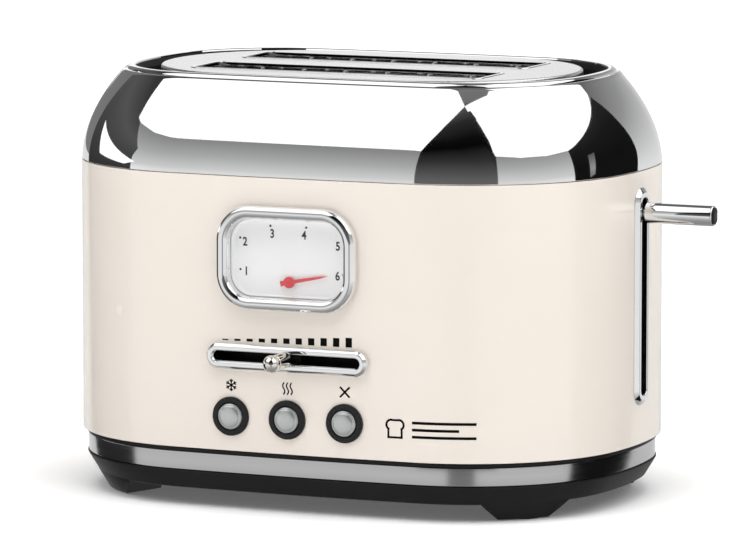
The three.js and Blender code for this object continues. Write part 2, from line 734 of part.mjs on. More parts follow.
function addCarriage() {
  addPart("lever_rod", makeLeverRod(), FINISHES.chrome);
  addPart("lever_block", makeBlock(), FINISHES.black);
  addPart("carriage_plate", makeCarriagePlate(), FINISHES.steel);
  addPart("bread_lift_front", makeLift(slotCentres.front), FINISHES.steel);
  addPart("bread_lift_back", makeLift(slotCentres.back), FINISHES.steel);
  const armatureX = carriageX + CARRIAGE_SHEET + GAP;
  const armature = box(armatureX, armatureX + 14, MAGNET_Y - 7, MAGNET_Y + 7, armatureZ, armatureZ + 2);
  addPart("armature", armature, FINISHES.steel);
  const magnet = box(armatureX, armatureX + 16, MAGNET_Y - 8, MAGNET_Y + 8, floorTopZ + GAP, magnetTopZ);
  addPart("electromagnet", magnet, FINISHES.copper);
  addPart("return_spring", makeSpring(), FINISHES.steel);
  const rod = prism(circle(guideRodX, 0, GUIDE_ROD_R, 16), floorTopZ + GAP, chamberTopZ);
  addPart("carriage_guide_rod", rod, FINISHES.steel);
}

function addLeverTrim() {
  const slot = leverSlotInset;
  const reach = halfLength + LEVER_TRIM_REACH;
  const trim = ring(leverOutline, [
    [0, halfLength - 2],
    [0, halfLength + LEVER_TRIM_EDGE],
    [slot - LEVER_TRIM_CREST, reach],
    [slot, reach - 0.3],
    [slot, halfLength - 2],
  ], FRAMES.end);
  addPart("lever_trim", trim.subtract(bodyForm), FINISHES.chrome);
  const guide = ring(leverOutline, [
    [0, wallX - 4],
    [0, wallX - 0.6],
    [slot - GAP, wallX - 0.6],
    [slot - GAP, wallX - 4],
  ], FRAMES.end);
  addPart("lever_guide", guide, FINISHES.black);
}

// ---------------------------------------------------------------- browning gauge

const hubZ = GAUGE_Z - HUB_DROP;
const dialY = DIAL_DEPTH - halfDepth; // front surface of the dial
const LENS_THICKNESS = 1.2;
const lensBack = halfDepth + 0.6;
const SPINDLE_R = 1;
const DIAL_THICKNESS = 0.8;
const MOTOR_R = 8;

function makeBezel() {
  const tube = BEZEL_TUBE;
  const front = halfDepth + BEZEL_REACH;
  const rebate = 1.2;
  const lensFront = lensBack + LENS_THICKNESS + GAP;
  return ring(gaugeOutline, [
    [0, halfDepth - 2],
    [0, front - 3],
    [0.9, front - 1],
    [2.6, front],
    [tube - 2.4, front - 0.3],
    [tube - 0.5, front - 1.6],
    [tube, lensFront + 0.4],
    [tube, lensFront],
    [tube - rebate, lensFront],
    [tube - rebate, halfDepth - 2],
  ], FRAMES.front).subtract(bodyForm);
}

function makeGaugeHousing() {
  const wall = gaugeWellInset - HOUSING_WALL;
  const depth = 8;
  const cup = prism(() => gaugeOutline(wall), halfDepth - depth, faceReach(BEZEL_WIDTH / 2), FRAMES.front);
  const wellBack = halfDepth - depth + HOUSING_WALL;
  const well = prism(() => gaugeOutline(gaugeWellInset), wellBack, halfDepth + 1, FRAMES.front);
  const bore = prism(circle(0, hubZ, SPINDLE_R + GAP, 12), halfDepth - 12, halfDepth, FRAMES.front);
  return cup.subtract(well).subtract(bore);
}

function makeNeedle() {
  const blade = (u, v, w) => {
    const a = THREE.MathUtils.degToRad(NEEDLE_ANGLE);
    const x = u * Math.cos(a) - v * Math.sin(a);
    const z = u * Math.sin(a) + v * Math.cos(a);
    return new THREE.Vector3(x, dialY - w, hubZ + z);
  };
  const edge = [[NEEDLE_LENGTH, 0.4], [0, 0.8], [-NEEDLE_TAIL, 1.4]];
  const outline = [...edge, ...edge.map(([u, v]) => [u, -v]).reverse()];
  const dialFront = halfDepth - DIAL_DEPTH;
  const hub = prism(circle(0, hubZ, HUB_R, 16), dialFront + 0.5, dialFront + 2.2, FRAMES.front);
  return prism(() => outline, 0.9, 1.6, blade).add(hub);
}

function addGauge() {
  addPart("gauge_bezel", makeBezel(), FINISHES.chrome);
  addPart("gauge_housing", makeGaugeHousing(), FINISHES.black);
  const dialFront = halfDepth - DIAL_DEPTH;
  const dialBack = dialFront - DIAL_THICKNESS;
  const dial = prism(() => gaugeOutline(gaugeWellInset + GAP), dialBack, dialFront, FRAMES.front);
  const bore = prism(circle(0, hubZ, SPINDLE_R + GAP, 12), 0, halfDepth, FRAMES.front);
  addPart("gauge_dial", dial.subtract(bore), FINISHES.dial);
  const lensInset = gaugeWellInset - 1.2 + GAP;
  const lens = prism(() => gaugeOutline(lensInset), lensBack, lensBack + LENS_THICKNESS, FRAMES.front);
  addPart("gauge_lens", lens, GLASS);
  const motorBack = halfDepth - 18;
  const motorFront = halfDepth - 8 - GAP;
  const motor = prism(circle(0, hubZ, MOTOR_R, 20), motorBack, motorFront, FRAMES.front);
  const socket = prism(circle(0, hubZ, SPINDLE_R + GAP, 12), motorBack + 5, motorFront + 1, FRAMES.front);
  addPart("gauge_motor", motor.subtract(socket), FINISHES.steel);
  addPart("gauge_needle", makeNeedle(), FINISHES.red);
  const spindle = prism(circle(0, hubZ, SPINDLE_R, 10), motorBack + 6, dialFront + 0.2, FRAMES.front);
  addPart("gauge_spindle", spindle, FINISHES.steel);
}

// ---------------------------------------------------------------- browning slider

const SLIDER_TRIM_REACH = 3;
const CARRIER_HALF = 5;
const housingHalf = SLIDER_TRAVEL + CARRIER_HALF + 6;
const sliderFront = faceReach(housingHalf) - SHEET - 2 * GAP; // clear of the bowed wall

function addSlider() {
  const reach = halfDepth + SLIDER_TRIM_REACH;
  const trim = ring(sliderOutline, [
    [0, halfDepth - 3],
    [0, reach - 2],
    [1.8, reach],
    [sliderSlotInset - 1, reach],
    [sliderSlotInset, reach - 1],
    [sliderSlotInset, halfDepth - 3],
  ], FRAMES.front);
  addPart("slider_trim", trim.subtract(bodyForm), FINISHES.chrome);

  const housing = box(-housingHalf, housingHalf, -sliderFront, -sliderFront + 12, SLIDER_Z - 8, SLIDER_Z + 8);
  const channel = box(-housingHalf + 2, housingHalf - 2, -sliderFront + 1.5, -sliderFront + 10.5,
    SLIDER_Z - 5, SLIDER_Z + 5);
  const mouthInset = sliderSlotInset - GAP;
  const mouth = prism(() => sliderOutline(mouthInset), sliderFront - 2, sliderFront + 1, FRAMES.front);
  addPart("slider_housing", housing.subtract(channel).subtract(mouth), FINISHES.black);

  const carrierFront = sliderFront - 1.5 - GAP;
  const [low, high] = [SLIDER_Z - 4.5, SLIDER_Z + 4.5];
  const carrier = box(-CARRIER_HALF, CARRIER_HALF, -carrierFront, 8 - carrierFront, low, high);
  addPart("slider_carrier", carrier, FINISHES.black);

  const shankR = SLIDER_SLOT_HEIGHT / 2 - GAP;
  const shank = carrierFront + GAP;
  const collar = reach + GAP;
  const tip = halfDepth + KNOB_REACH;
  const ball = arc(0, tip - KNOB_R, KNOB_R, -Math.PI / 6, Math.PI / 2, 5);
  ball[ball.length - 1][0] = 0;
  const profile = [[0, shank], [shankR, shank], [shankR, collar], [KNOB_R - 0.9, collar], ...ball];
  const geometry = turned(profile, 18);
  geometry.rotateX(Math.PI);
  geometry.translate(0, 0, SLIDER_Z);
  addPart("slider_knob", solidOf(geometry), FINISHES.chrome);
}

// ---------------------------------------------------------------- buttons and control board

const BOARD_DEPTH = 22.8; // from the shell's face to the board's front
const BUTTON_SWITCH_DEPTH = 5;
const boardY = BOARD_DEPTH - halfDepth;

function addButton(x, index) {
  const face = faceReach(x);
  const sleeveBack = face - 7;
  const disc = prism(circle(x, BUTTON_Z, BUTTON_RING_R), face - 2, face + 1.5, FRAMES.front);
  const flange = disc.subtract(bodyForm);
  const sleeve = prism(circle(x, BUTTON_Z, BUTTON_SLEEVE_R), sleeveBack, face + 1.2, FRAMES.front);
  const bore = prism(circle(x, BUTTON_Z, BUTTON_CAP_R + GAP), sleeveBack - 1, face + 4, FRAMES.front);
  addPart(`button_ring_${index}`, flange.add(sleeve).subtract(bore), FINISHES.black);

  const skirt = face - 5;
  const edge = face + BUTTON_CAP_REACH - 1.6;
  const stemBack = BOARD_DEPTH - BUTTON_SWITCH_DEPTH - BUTTON_TRAVEL - 3 * GAP;
  const stem = halfDepth - stemBack;
  const profile = [
    [0, stem],
    [2.5, stem],
    [2.5, skirt],
    [BUTTON_CAP_R, skirt],
    [BUTTON_CAP_R, edge],
    [BUTTON_CAP_R * 0.8, edge + 0.9],
    [BUTTON_CAP_R * 0.45, edge + 1.45],
    [0, edge + 1.6],
  ];
  const geometry = turned(profile, 24);
  geometry.rotateX(Math.PI);
  geometry.translate(x, 0, BUTTON_Z);
  addPart(`button_cap_${index}`, solidOf(geometry), FINISHES.steel);

  const switchBox = box(x - 4, x + 4, boardY - BUTTON_SWITCH_DEPTH, boardY - GAP, BUTTON_Z - 4, BUTTON_Z + 4);
  addPart(`button_switch_${index}`, switchBox, FINISHES.black);
}

function addControls() {
  addSlider();
  buttonXs.forEach((x, i) => addButton(x, i + 1));
  const boardHalf = housingHalf + 2;
  const board = box(-boardHalf, boardHalf, boardY, boardY + 1.6, floorTopZ + GAP, SLIDER_Z + 12);
  addPart("control_board", board, FINISHES.board);
}

// ---------------------------------------------------------------- crumb tray and cord inlet

/** Shallow pan that slides on the chassis floor, with a grip that follows the body's back. */
function makeCrumbTray() {
  const front = slotCentres.front - HEATER_OFFSET - 4;
  const back = faceReach(trayHalf) - 2;
  const wallTop = trayZ + TRAY_WALL_HEIGHT;
  const pan = box(-trayHalf, trayHalf, front, back, trayZ, wallTop)
    .subtract(box(-trayHalf + 1, trayHalf - 1, front + 1, back - 1, trayZ + 1, wallTop + 1));
  const tongue = box(-trayHalf, trayHalf, back - 1, halfDepth + 1, trayZ, trayZ + 4);
  const gripTopZ = trayZ + TRAY_GRIP_HEIGHT;
  const plate = prism(() => bodyOutline(-2.3), trayZ - 0.4, gripTopZ)
    .intersect(box(-trayHalf - 4, trayHalf + 4, 0, halfDepth + 10, 0, gripTopZ))
    .subtract(bodyForm);
  const lip = box(-16, 16, halfDepth + 1, halfDepth + 7, gripTopZ - 3, gripTopZ - 1);
  return joined([pan, tongue.intersect(prism(() => bodyOutline(-1), 0, rimZ)), plate, lip]);
}

function makeGland() {
  const disc = prism(circle(0, GLAND_Z, GLAND_R), -halfLength - 3, -halfLength + 2, FRAMES.end);
  const flange = disc.subtract(bodyForm);
  const sleeve = prism(circle(0, GLAND_Z, GLAND_SLEEVE_R), -halfLength - 2, -halfLength + 8, FRAMES.end);
  const bore = prism(circle(0, GLAND_Z, GLAND_BORE_R), -halfLength - 5, -halfLength + 10, FRAMES.end);
  return flange.add(sleeve).subtract(bore);
}

// ---------------------------------------------------------------- assembly

addPart("outer_shell", makeShell(), FINISHES.cream);
addPart("top_cap", makeCap(), FINISHES.chrome);
addPart("top_plate", makeTopPlate(), FINISHES.steel);
addPart("deck_plate", makeDeck(), FINISHES.black);
addBase();
addChamber();
addGuides();
addCarriage();
addLeverTrim();
addGauge();
addControls();
addPart("crumb_tray", makeCrumbTray(), FINISHES.steel);
addPart("cord_gland", makeGland(), FINISHES.black);

// The bounding box runs from the gland to the lever's tip and from the knob's ball to the tray's lip.
const bounds = new THREE.Box3().setFromObject(toaster);
const centre = bounds.getCenter(new THREE.Vector3());
toaster.position.set(-centre.x, -centre.y, -bounds.min.z);

export default toaster;
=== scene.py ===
import json
import math

import bmesh
import bpy
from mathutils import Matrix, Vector


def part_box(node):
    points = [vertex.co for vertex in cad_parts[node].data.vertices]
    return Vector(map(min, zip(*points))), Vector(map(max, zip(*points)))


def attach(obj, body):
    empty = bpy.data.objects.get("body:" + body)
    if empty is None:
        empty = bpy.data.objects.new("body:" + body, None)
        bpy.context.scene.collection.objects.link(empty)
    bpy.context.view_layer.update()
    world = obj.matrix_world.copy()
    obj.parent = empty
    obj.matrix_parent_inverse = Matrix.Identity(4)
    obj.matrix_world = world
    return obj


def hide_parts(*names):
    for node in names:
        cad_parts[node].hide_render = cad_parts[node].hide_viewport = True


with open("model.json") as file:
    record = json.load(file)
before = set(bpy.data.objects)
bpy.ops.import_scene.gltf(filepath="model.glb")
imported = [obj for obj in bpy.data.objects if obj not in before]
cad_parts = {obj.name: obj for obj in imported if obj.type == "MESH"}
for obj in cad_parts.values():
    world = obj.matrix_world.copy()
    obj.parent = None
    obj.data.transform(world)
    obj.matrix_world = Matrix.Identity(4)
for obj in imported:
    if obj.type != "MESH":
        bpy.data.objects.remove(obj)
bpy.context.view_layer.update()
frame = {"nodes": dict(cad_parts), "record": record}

# Sizes below are in millimetres unless a name says otherwise. Places come from the frame.
MM = 0.001
WELD = 0.0002 * MM
SHARP_DEGREES = 35


# ------------------------------------------------------------------ places read from the frame

def mm_box(node):
    """A node's lowest and highest corner in millimetres, from the body's upright centre line."""
    low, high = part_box(node)
    return (Vector(low) / MM - body_centre), (Vector(high) / MM - body_centre)


def middle(node):
    low, high = mm_box(node)
    return (low + high) / 2


shell_low, shell_high = (Vector(corner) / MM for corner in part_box("outer_shell"))
body_centre = Vector(((shell_low.x + shell_high.x) / 2, (shell_low.y + shell_high.y) / 2, 0))
half_length = (shell_high.x - shell_low.x) / 2
half_depth = (shell_high.y - shell_low.y) / 2

# A local frame places (u, v) across a face and w outwards, all from the body's centre line.
FACES = {
    "top": lambda u, v, w: (body_centre + Vector((u, v, w))) * MM,
    "front": lambda u, v, w: (body_centre + Vector((u, -w, v))) * MM,
    "right": lambda u, v, w: (body_centre + Vector((w, u, v))) * MM,
    "left": lambda u, v, w: (body_centre + Vector((-w, -u, v))) * MM,
    "skin": lambda s, v, w: (body_centre + Vector((*on_skin(s, w), v))) * MM,
}

FRONT_BOW_R = 1172
END_BOW_R = 190
CORNER_R = 79.2


# ------------------------------------------------------------------ outlines and profiles

def arc(cu, cv, r, start, end, steps):
    """Points of an arc between two angles, both ends included."""
    angles = [start + (end - start) * i / steps for i in range(steps + 1)]
    return [(cu + r * math.cos(a), cv + r * math.sin(a)) for a in angles]


def circle(cu, cv, steps=64):
    """A round outline whose argument is its radius."""
    return lambda r: arc(cu, cv, r, 0, 2 * math.pi * (1 - 1 / steps), steps - 1)


def rounded_rectangle(cu, cv, width, height, r, steps=14, side_steps=1):
    """An anticlockwise outline whose argument is its inset; the sides hold evenly spaced points."""
    def outline(inset):
        du, dv = width / 2 - r, height / 2 - r
        points = []
        for i, (su, sv) in enumerate(((1, 1), (-1, 1), (-1, -1), (1, -1))):
            corner = arc(cu + su * du, cv + sv * dv, r - inset, i * math.pi / 2, (i + 1) * math.pi / 2, steps)
            if points and side_steps > 1:
                a, b = Vector(points[-1]), Vector(corner[0])
                points += [tuple(a.lerp(b, k / side_steps)) for k in range(1, side_steps)]
            points += corner
        return points
    return outline


def bow_centres(half_u, half_v, front_r, end_r, corner_r):
    """Centres of the end, corner and front arcs of one quarter, and the angles where they touch."""
    front = Vector((0, half_v - front_r))
    end = Vector((half_u - end_r, 0))
    reach_front, reach_end = front_r - corner_r, end_r - corner_r
    between = end - front
    along = (reach_front ** 2 - reach_end ** 2 + between.length_squared) / (2 * between.length)
    across = math.sqrt(reach_front ** 2 - along ** 2)
    unit = between.normalized()
    corner = front + unit * along + Vector((unit.y, -unit.x)) * across
    end_angle = math.atan2(corner.y - end.y, corner.x - end.x)
    front_angle = math.atan2(corner.y - front.y, corner.x - front.x)
    return end, corner, front, end_angle, front_angle


def bowed(half_u, half_v, front_r, end_r, corner_r, steps=(10, 30, 20)):
    """Two long bows, two end bows and four corner arcs that touch them; the argument is the inset."""
    end, corner, front, end_angle, front_angle = bow_centres(half_u, half_v, front_r, end_r, corner_r)

    def outline(inset):
        quarter = arc(end.x, end.y, end_r - inset, 0, end_angle, steps[0])
        quarter += arc(corner.x, corner.y, corner_r - inset, end_angle, front_angle, steps[1])[1:]
        quarter += arc(front.x, front.y, front_r - inset, front_angle, math.pi / 2, steps[2])[1:]
        upper = quarter + [(-u, v) for u, v in reversed(quarter[:-1])]
        return upper + [(u, -v) for u, v in reversed(upper[1:-1])]
    return outline


body_outline = bowed(half_length, half_depth, FRONT_BOW_R, END_BOW_R, CORNER_R)


def face_reach(u):
    """How far the body's front stands from its centre line, a distance u along it."""
    return half_depth - FRONT_BOW_R + math.sqrt(FRONT_BOW_R ** 2 - u ** 2)


def on_skin(s, w):
    """The place a distance s along the front from its middle and w off it, round the corner too."""
    _, corner, front, _, front_angle = bow_centres(half_length, half_depth, FRONT_BOW_R, END_BOW_R, CORNER_R)
    bow_end = FRONT_BOW_R * (math.pi / 2 - front_angle)
    centre, r, turn = front, FRONT_BOW_R, abs(s) / FRONT_BOW_R
    if abs(s) > bow_end:
        centre, r, turn = corner, CORNER_R, math.pi / 2 - front_angle + (abs(s) - bow_end) / CORNER_R
    u = centre.x + (r + w) * math.sin(turn)
    return math.copysign(u, s), -centre.y - (r + w) * math.cos(turn)


def softened(corners, radius, steps=4, closed=True):
    """A profile with each corner rounded by an arc of the radius, or less where an edge is short."""
    points = [Vector(c) for c in corners]
    count = len(points)
    result = []
    for i, here in enumerate(points):
        if not closed and i in (0, count - 1):
            result.append(tuple(here))
            continue
        back, on = points[i - 1] - here, points[(i + 1) % count] - here
        angle = back.angle(on)
        if angle > math.radians(170):
            result.append(tuple(here))
            continue
        cut = min(radius / math.tan(angle / 2), back.length * 0.48, on.length * 0.48)
        a, b = here + back.normalized() * cut, here + on.normalized() * cut
        for k in range(steps + 1):
            t = k / steps
            result.append(tuple(a.lerp(here, t).lerp(here.lerp(b, t), t)))
    return result


# ------------------------------------------------------------------ modelling by operators

def clear_selection():
    if bpy.context.mode != "OBJECT":
        bpy.ops.object.mode_set(mode="OBJECT")
    bpy.ops.object.select_all(action="DESELECT")


def choose(*pieces):
    """Selects these objects alone; the first one is active."""
    clear_selection()
    for piece in pieces:
        piece.select_set(True)
    bpy.context.view_layer.objects.active = pieces[0]


def named(name):
    piece = bpy.context.object
    piece.name = name
    piece.data.name = name
    return piece


def settle(piece):
    """Puts the object's place, turn and size into its mesh."""
    choose(piece)
    bpy.ops.object.transform_apply(location=True, rotation=True, scale=True)
    return piece


def smooth(piece, degrees=SHARP_DEGREES):
    choose(piece)
    bpy.ops.object.shade_smooth_by_angle(angle=math.radians(degrees))
    return piece


def rings_in_edit_mode(name, rings):
    """A ring of edges extruded from each list of places to the next, left open and in edit mode."""
    clear_selection()
    bpy.ops.mesh.primitive_circle_add(vertices=len(rings[0]), radius=MM)
    piece = named(name)
    bpy.ops.object.mode_set(mode="EDIT")
    mesh = bmesh.from_edit_mesh(piece.data)
    station = mesh.verts.layers.int.new("station")
    for i, vertex in enumerate(mesh.verts):
        vertex[station] = i
    for level, ring in enumerate(rings):
        if level:
            bpy.ops.mesh.extrude_edges_move()
            mesh = bmesh.from_edit_mesh(piece.data)
            station = mesh.verts.layers.int["station"]
        for vertex in mesh.verts:
            if vertex.select:
                vertex.co = ring[vertex[station]]
    bmesh.update_edit_mesh(piece.data)
    return piece


def turned_outward(piece, degrees=SHARP_DEGREES):
    """Turns every face outward, leaves edit mode and smooths the piece."""
    bpy.ops.mesh.select_all(action="SELECT")
    bpy.ops.mesh.normals_make_consistent(inside=False)
    bpy.ops.object.mode_set(mode="OBJECT")
    piece.data.attributes.remove(piece.data.attributes["station"])
    return smooth(piece, degrees)


def weld_all():
    bpy.ops.mesh.select_all(action="SELECT")
    bpy.ops.mesh.remove_doubles(threshold=WELD)


def wrapped(name, outline, profile, face="top", closed=True):
    """An outline drawn as a ring of edges and extruded through a profile of (inset, height) levels.

    A closed profile bridges its last level to its first. An open one is filled at both ends, and a
    level of no radius becomes a pole. The face is a name in FACES or a function of (u, v, w).
    """
    place = FACES[face] if face in FACES else face
    piece = rings_in_edit_mode(name, [[place(u, v, height) for u, v in outline(inset)]
                                      for inset, height in profile])
    bpy.ops.mesh.select_all(action="DESELECT")
    bpy.ops.mesh.select_mode(type="EDGE")
    bpy.ops.mesh.select_non_manifold()
    if closed:
        bpy.ops.mesh.bridge_edge_loops()
    else:
        weld_all()
        bpy.ops.mesh.select_all(action="DESELECT")
        bpy.ops.mesh.select_non_manifold()
        if any_selected(piece):
            bpy.ops.mesh.fill_holes(sides=0)
    return turned_outward(piece)


def any_selected(piece):
    return any(edge.select for edge in bmesh.from_edit_mesh(piece.data).edges)


def block(name, low, high, edge=0.0, segments=2):
    """A box between two corners, its edges rounded by a bevel."""
    a, b = (FACES["top"](*corner) for corner in (low, high))
    clear_selection()
    bpy.ops.mesh.primitive_cube_add(size=1, location=(a + b) / 2)
    piece = named(name)
    piece.scale = [abs(s) for s in (b - a)]
    settle(piece)
    if edge:
        bevelled(piece, edge, segments)
    return piece


def apply_modifiers(piece):
    choose(piece)
    for modifier in list(piece.modifiers):
        bpy.ops.object.modifier_apply(modifier=modifier.name)
    return piece


def bevelled(piece, width, segments=2):
    bevel = piece.modifiers.new("edges", "BEVEL")
    bevel.width = width * MM
    bevel.segments = segments
    bevel.limit_method = "ANGLE"
    bevel.angle_limit = math.radians(SHARP_DEGREES)
    apply_modifiers(piece)
    return smooth(piece)


def carve(piece, cutter, operation="DIFFERENCE"):
    """Cuts, joins or crosses a piece with another, which is used up."""
    boolean = piece.modifiers.new("carve", "BOOLEAN")
    boolean.operation = operation
    boolean.solver = "EXACT"
    boolean.object = cutter
    apply_modifiers(piece)
    bpy.data.objects.remove(cutter)
    return smooth(piece)


def merged(name, pieces):
    choose(*pieces)
    bpy.ops.object.join()
    return named(name)


def finished(piece, material, body, slot, *nodes):
    """Gives a piece its finish, its body and the nodes that it stands for; the record's slot is not used."""
    piece.data.materials.clear()
    piece.data.materials.append(material)
    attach(piece, body)
    if nodes:
        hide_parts(*nodes)
    return piece


# ------------------------------------------------------------------ finishes

class Value:
    """A number socket. Arithmetic on it adds Math nodes to its finish."""

    def __init__(self, finish, socket):
        self.finish = finish
        self.socket = socket

    def _math(self, operation, *terms):
        return self.finish.node("Math", "Value", {"operation": operation}, *terms)

    def __add__(self, other):
        return self._math("ADD", self, other)

    def __sub__(self, other):
        return self._math("SUBTRACT", self, other)

    def __mul__(self, other):
        return self._math("MULTIPLY", self, other)

    def __truediv__(self, other):
        return self._math("DIVIDE", self, other)

    def __pow__(self, other):
        return self._math("POWER", self, other)

    __radd__ = __add__
    __rmul__ = __mul__


def fill_ramp(ramp, levels):
    """Sets a ramp's greys from (elevation, level) pairs, placed by the sine of the elevation."""
    while len(ramp.elements) < len(levels):
        ramp.elements.new(0.5)
    for element, (elevation, level) in zip(ramp.elements, levels):
        element.position = (math.sin(math.radians(elevation)) + 1) / 2
        element.color = (level, level, level, 1)


class Finish:
    """A material under construction around one Principled shader."""

    def __init__(self, name, **shader):
        self.material = bpy.data.materials.new(name)
        self.material.use_nodes = True
        self.tree = self.material.node_tree
        self.tree.nodes.clear()
        self.shader = self.tree.nodes.new("ShaderNodeBsdfPrincipled")
        self.output = self.tree.nodes.new("ShaderNodeOutputMaterial")
        self.tree.links.new(self.shader.outputs["BSDF"], self.output.inputs["Surface"])
        self.place = self.node("TexCoord", "Object")
        for name, value in shader.items():
            self.feed(self.shader.inputs[name.replace("_", " ")], value)

    def feed(self, socket, value):
        if isinstance(value, Value):
            self.tree.links.new(value.socket, socket)
        elif isinstance(value, tuple) and len(value) == 3 and socket.type == "RGBA":
            socket.default_value = (*value, 1)
        else:
            socket.default_value = value

    def node(self, kind, output, settings=None, *terms, **inputs):
        """Adds a node, sets it up, feeds its sockets in order or by name, and gives one output."""
        made = self.tree.nodes.new("ShaderNode" + kind)
        for key, value in (settings or {}).items():
            if key == "levels":
                fill_ramp(made.color_ramp, value)
            else:
                setattr(made, key, value)
        for socket, value in zip(made.inputs, terms):
            self.feed(socket, value)
        for key, value in inputs.items():
            self.feed(made.inputs[key.replace("_", " ")], value)
        return Value(self, made.outputs[output])

    def stretched(self, x, y, z):
        """Object coordinates scaled along each axis, for brushing and grain."""
        return self.node("Mapping", "Vector", None, Vector=self.place, Scale=(x, y, z))

    def noise(self, scale, detail=3, roughness=0.55, vector=None):
        return self.node("TexNoise", "Fac", None, Vector=vector or self.place, Scale=scale,
                         Detail=detail, Roughness=roughness)

    def blend(self, factor, first, second):
        """A colour between two colours."""
        made = self.tree.nodes.new("ShaderNodeMix")
        made.data_type = "RGBA"
        for socket, value in ((made.inputs[0], factor), (made.inputs[6], first), (made.inputs[7], second)):
            self.feed(socket, value)
        return Value(self, made.outputs[2])

    def bump(self, height, strength, distance=0.0002):
        normal = self.node("Bump", "Normal", None, Height=height, Strength=strength, Distance=distance)
        self.feed(self.shader.inputs["Normal"], normal)

    def set(self, **inputs):
        for key, value in inputs.items():
            self.feed(self.shader.inputs[key.replace("_", " ")], value)
        return self


def cream_enamel():
    """Warm off-white paint under a clear gloss, with faint mottling and orange peel."""
    f = Finish("cream_enamel", Coat_Weight=0.5, Coat_Roughness=0.04, IOR=1.5)
    f.set(Base_Color=f.blend(f.noise(14, 2), (0.80, 0.73, 0.66), (0.83, 0.77, 0.70)))
    f.set(Roughness=0.2 + 0.1 * f.noise(60, 4))
    f.bump(f.noise(650, 2), 0.03)
    return f.material


def chrome(name="chrome", tint=(0.93, 0.935, 0.94), gloss=0.025):
    """Polished plating with the faint haze of handling."""
    f = Finish(name, Metallic=1.0)
    f.set(Base_Color=f.blend(f.noise(25, 3), tint, tuple(c * 0.975 for c in tint)))
    smear = f.noise(30, 5, 0.6, f.stretched(1, 1, 2.5)) ** 3
    f.set(Roughness=gloss + 0.07 * smear)
    f.bump(f.noise(90, 2), 0.012)
    return f.material


def brushed(name, color, gloss, grain=(4, 900, 900), depth=0.05):
    """Metal with fine parallel brushing: the grain is long where its scale is small."""
    f = Finish(name, Metallic=1.0)
    lines = f.noise(1, 4, 0.65, f.stretched(*grain))
    f.set(Base_Color=f.blend(lines, tuple(c * 0.86 for c in color), color))
    f.set(Roughness=gloss + 0.14 * (lines - 0.5) + 0.05 * f.noise(40, 3))
    f.bump(lines, depth)
    return f.material


def moulded(name, color, gloss, grain=900, depth=0.12, shine=0.5):
    """Moulded plastic with a fine spark-eroded texture."""
    f = Finish(name, IOR=1.48, Specular_IOR_Level=shine)
    fine = f.noise(grain, 3)
    f.set(Base_Color=f.blend(f.noise(35, 3), color, tuple(min(c * 1.3 + 0.003, 1) for c in color)))
    f.set(Roughness=gloss + 0.16 * (fine - 0.5) + 0.06 * f.noise(50, 3))
    f.bump(fine, depth)
    return f.material


def mica():
    """Pressed mica sheet: pale brown flakes with a slight sheen."""
    f = Finish("mica", IOR=1.56)
    flakes = f.node("TexVoronoi", "Color", None, Vector=f.stretched(1, 1, 0.6), Scale=420)
    level = f.node("RGBToBW", "Val", None, flakes)
    f.set(Base_Color=f.blend(level, (0.36, 0.29, 0.19), (0.52, 0.45, 0.33)))
    f.set(Roughness=0.35 + 0.3 * level)
    f.bump(level, 0.15)
    return f.material


def heating_ribbon():
    """Nichrome ribbon, browned by heat in patches."""
    f = Finish("heating_ribbon", Metallic=0.9)
    patches = f.noise(70, 3)
    f.set(Base_Color=f.blend(patches, (0.19, 0.15, 0.13), (0.42, 0.38, 0.35)))
    f.set(Roughness=0.3 + 0.25 * patches)
    return f.material


def magnet_winding():
    """Copper wire in tight layers round a former."""
    f = Finish("magnet_winding", Metallic=1.0)
    turns = f.node("TexWave", "Fac", {"bands_direction": "Z"}, Vector=f.place, Scale=420, Distortion=0.4)
    f.set(Base_Color=f.blend(turns, (0.25, 0.09, 0.03), (0.78, 0.38, 0.18)))
    f.set(Roughness=0.28 + 0.2 * turns)
    f.bump(turns, 0.4)
    return f.material


def dial_paint():
    """Matt pale grey print ground with a faint paper-like tooth."""
    f = Finish("dial_paint")
    f.set(Base_Color=f.blend(f.noise(22, 3), (0.90, 0.905, 0.91), (0.94, 0.945, 0.945)))
    f.set(Roughness=0.5 + 0.15 * f.noise(500, 2))
    f.bump(f.noise(1200, 2), 0.04)
    return f.material


def needle_paint():
    f = Finish("needle_paint", Coat_Weight=0.3, Coat_Roughness=0.1)
    f.set(Base_Color=f.blend(f.noise(120, 3), (0.60, 0.015, 0.02), (0.72, 0.03, 0.035)))
    f.set(Roughness=0.3 + 0.1 * f.noise(300, 2))
    return f.material


def printed_ink():
    """Screen-printed black, a little uneven."""
    f = Finish("printed_ink", Specular_IOR_Level=0.1)
    f.set(Base_Color=f.blend(f.noise(300, 4), (0.001, 0.001, 0.001), (0.004, 0.004, 0.004)))
    f.set(Roughness=0.5 + 0.15 * f.noise(700, 2))
    return f.material


def satin_cap():
    """Fine turned lines about each cap's axis, read as a soft sheen."""
    f = Finish("satin_cap", Metallic=0.85)
    grain = f.noise(1500, 2)
    f.set(Base_Color=f.blend(grain, (0.58, 0.60, 0.59), (0.70, 0.72, 0.71)))
    f.set(Roughness=0.3 + 0.1 * (grain - 0.5))
    f.bump(grain, 0.04)
    return f.material


def lens_glass():
    """A thin clear pane: it mirrors more the flatter it is looked along, and passes the rest."""
    f = Finish("lens_glass", Metallic=1.0)
    f.set(Base_Color=(1.0, 1.0, 1.0), Roughness=0.01 + 0.01 * f.noise(40, 3))
    clear = f.node("BsdfTransparent", "BSDF")
    flatness = f.node("LayerWeight", "Facing", None, Blend=0.5)
    share = 0.03 + 0.9 * flatness ** 5
    mix = f.node("MixShader", "Shader", None, share, clear, Value(f, f.shader.outputs["BSDF"]))
    f.tree.links.new(mix.socket, f.output.inputs["Surface"])
    return f.material


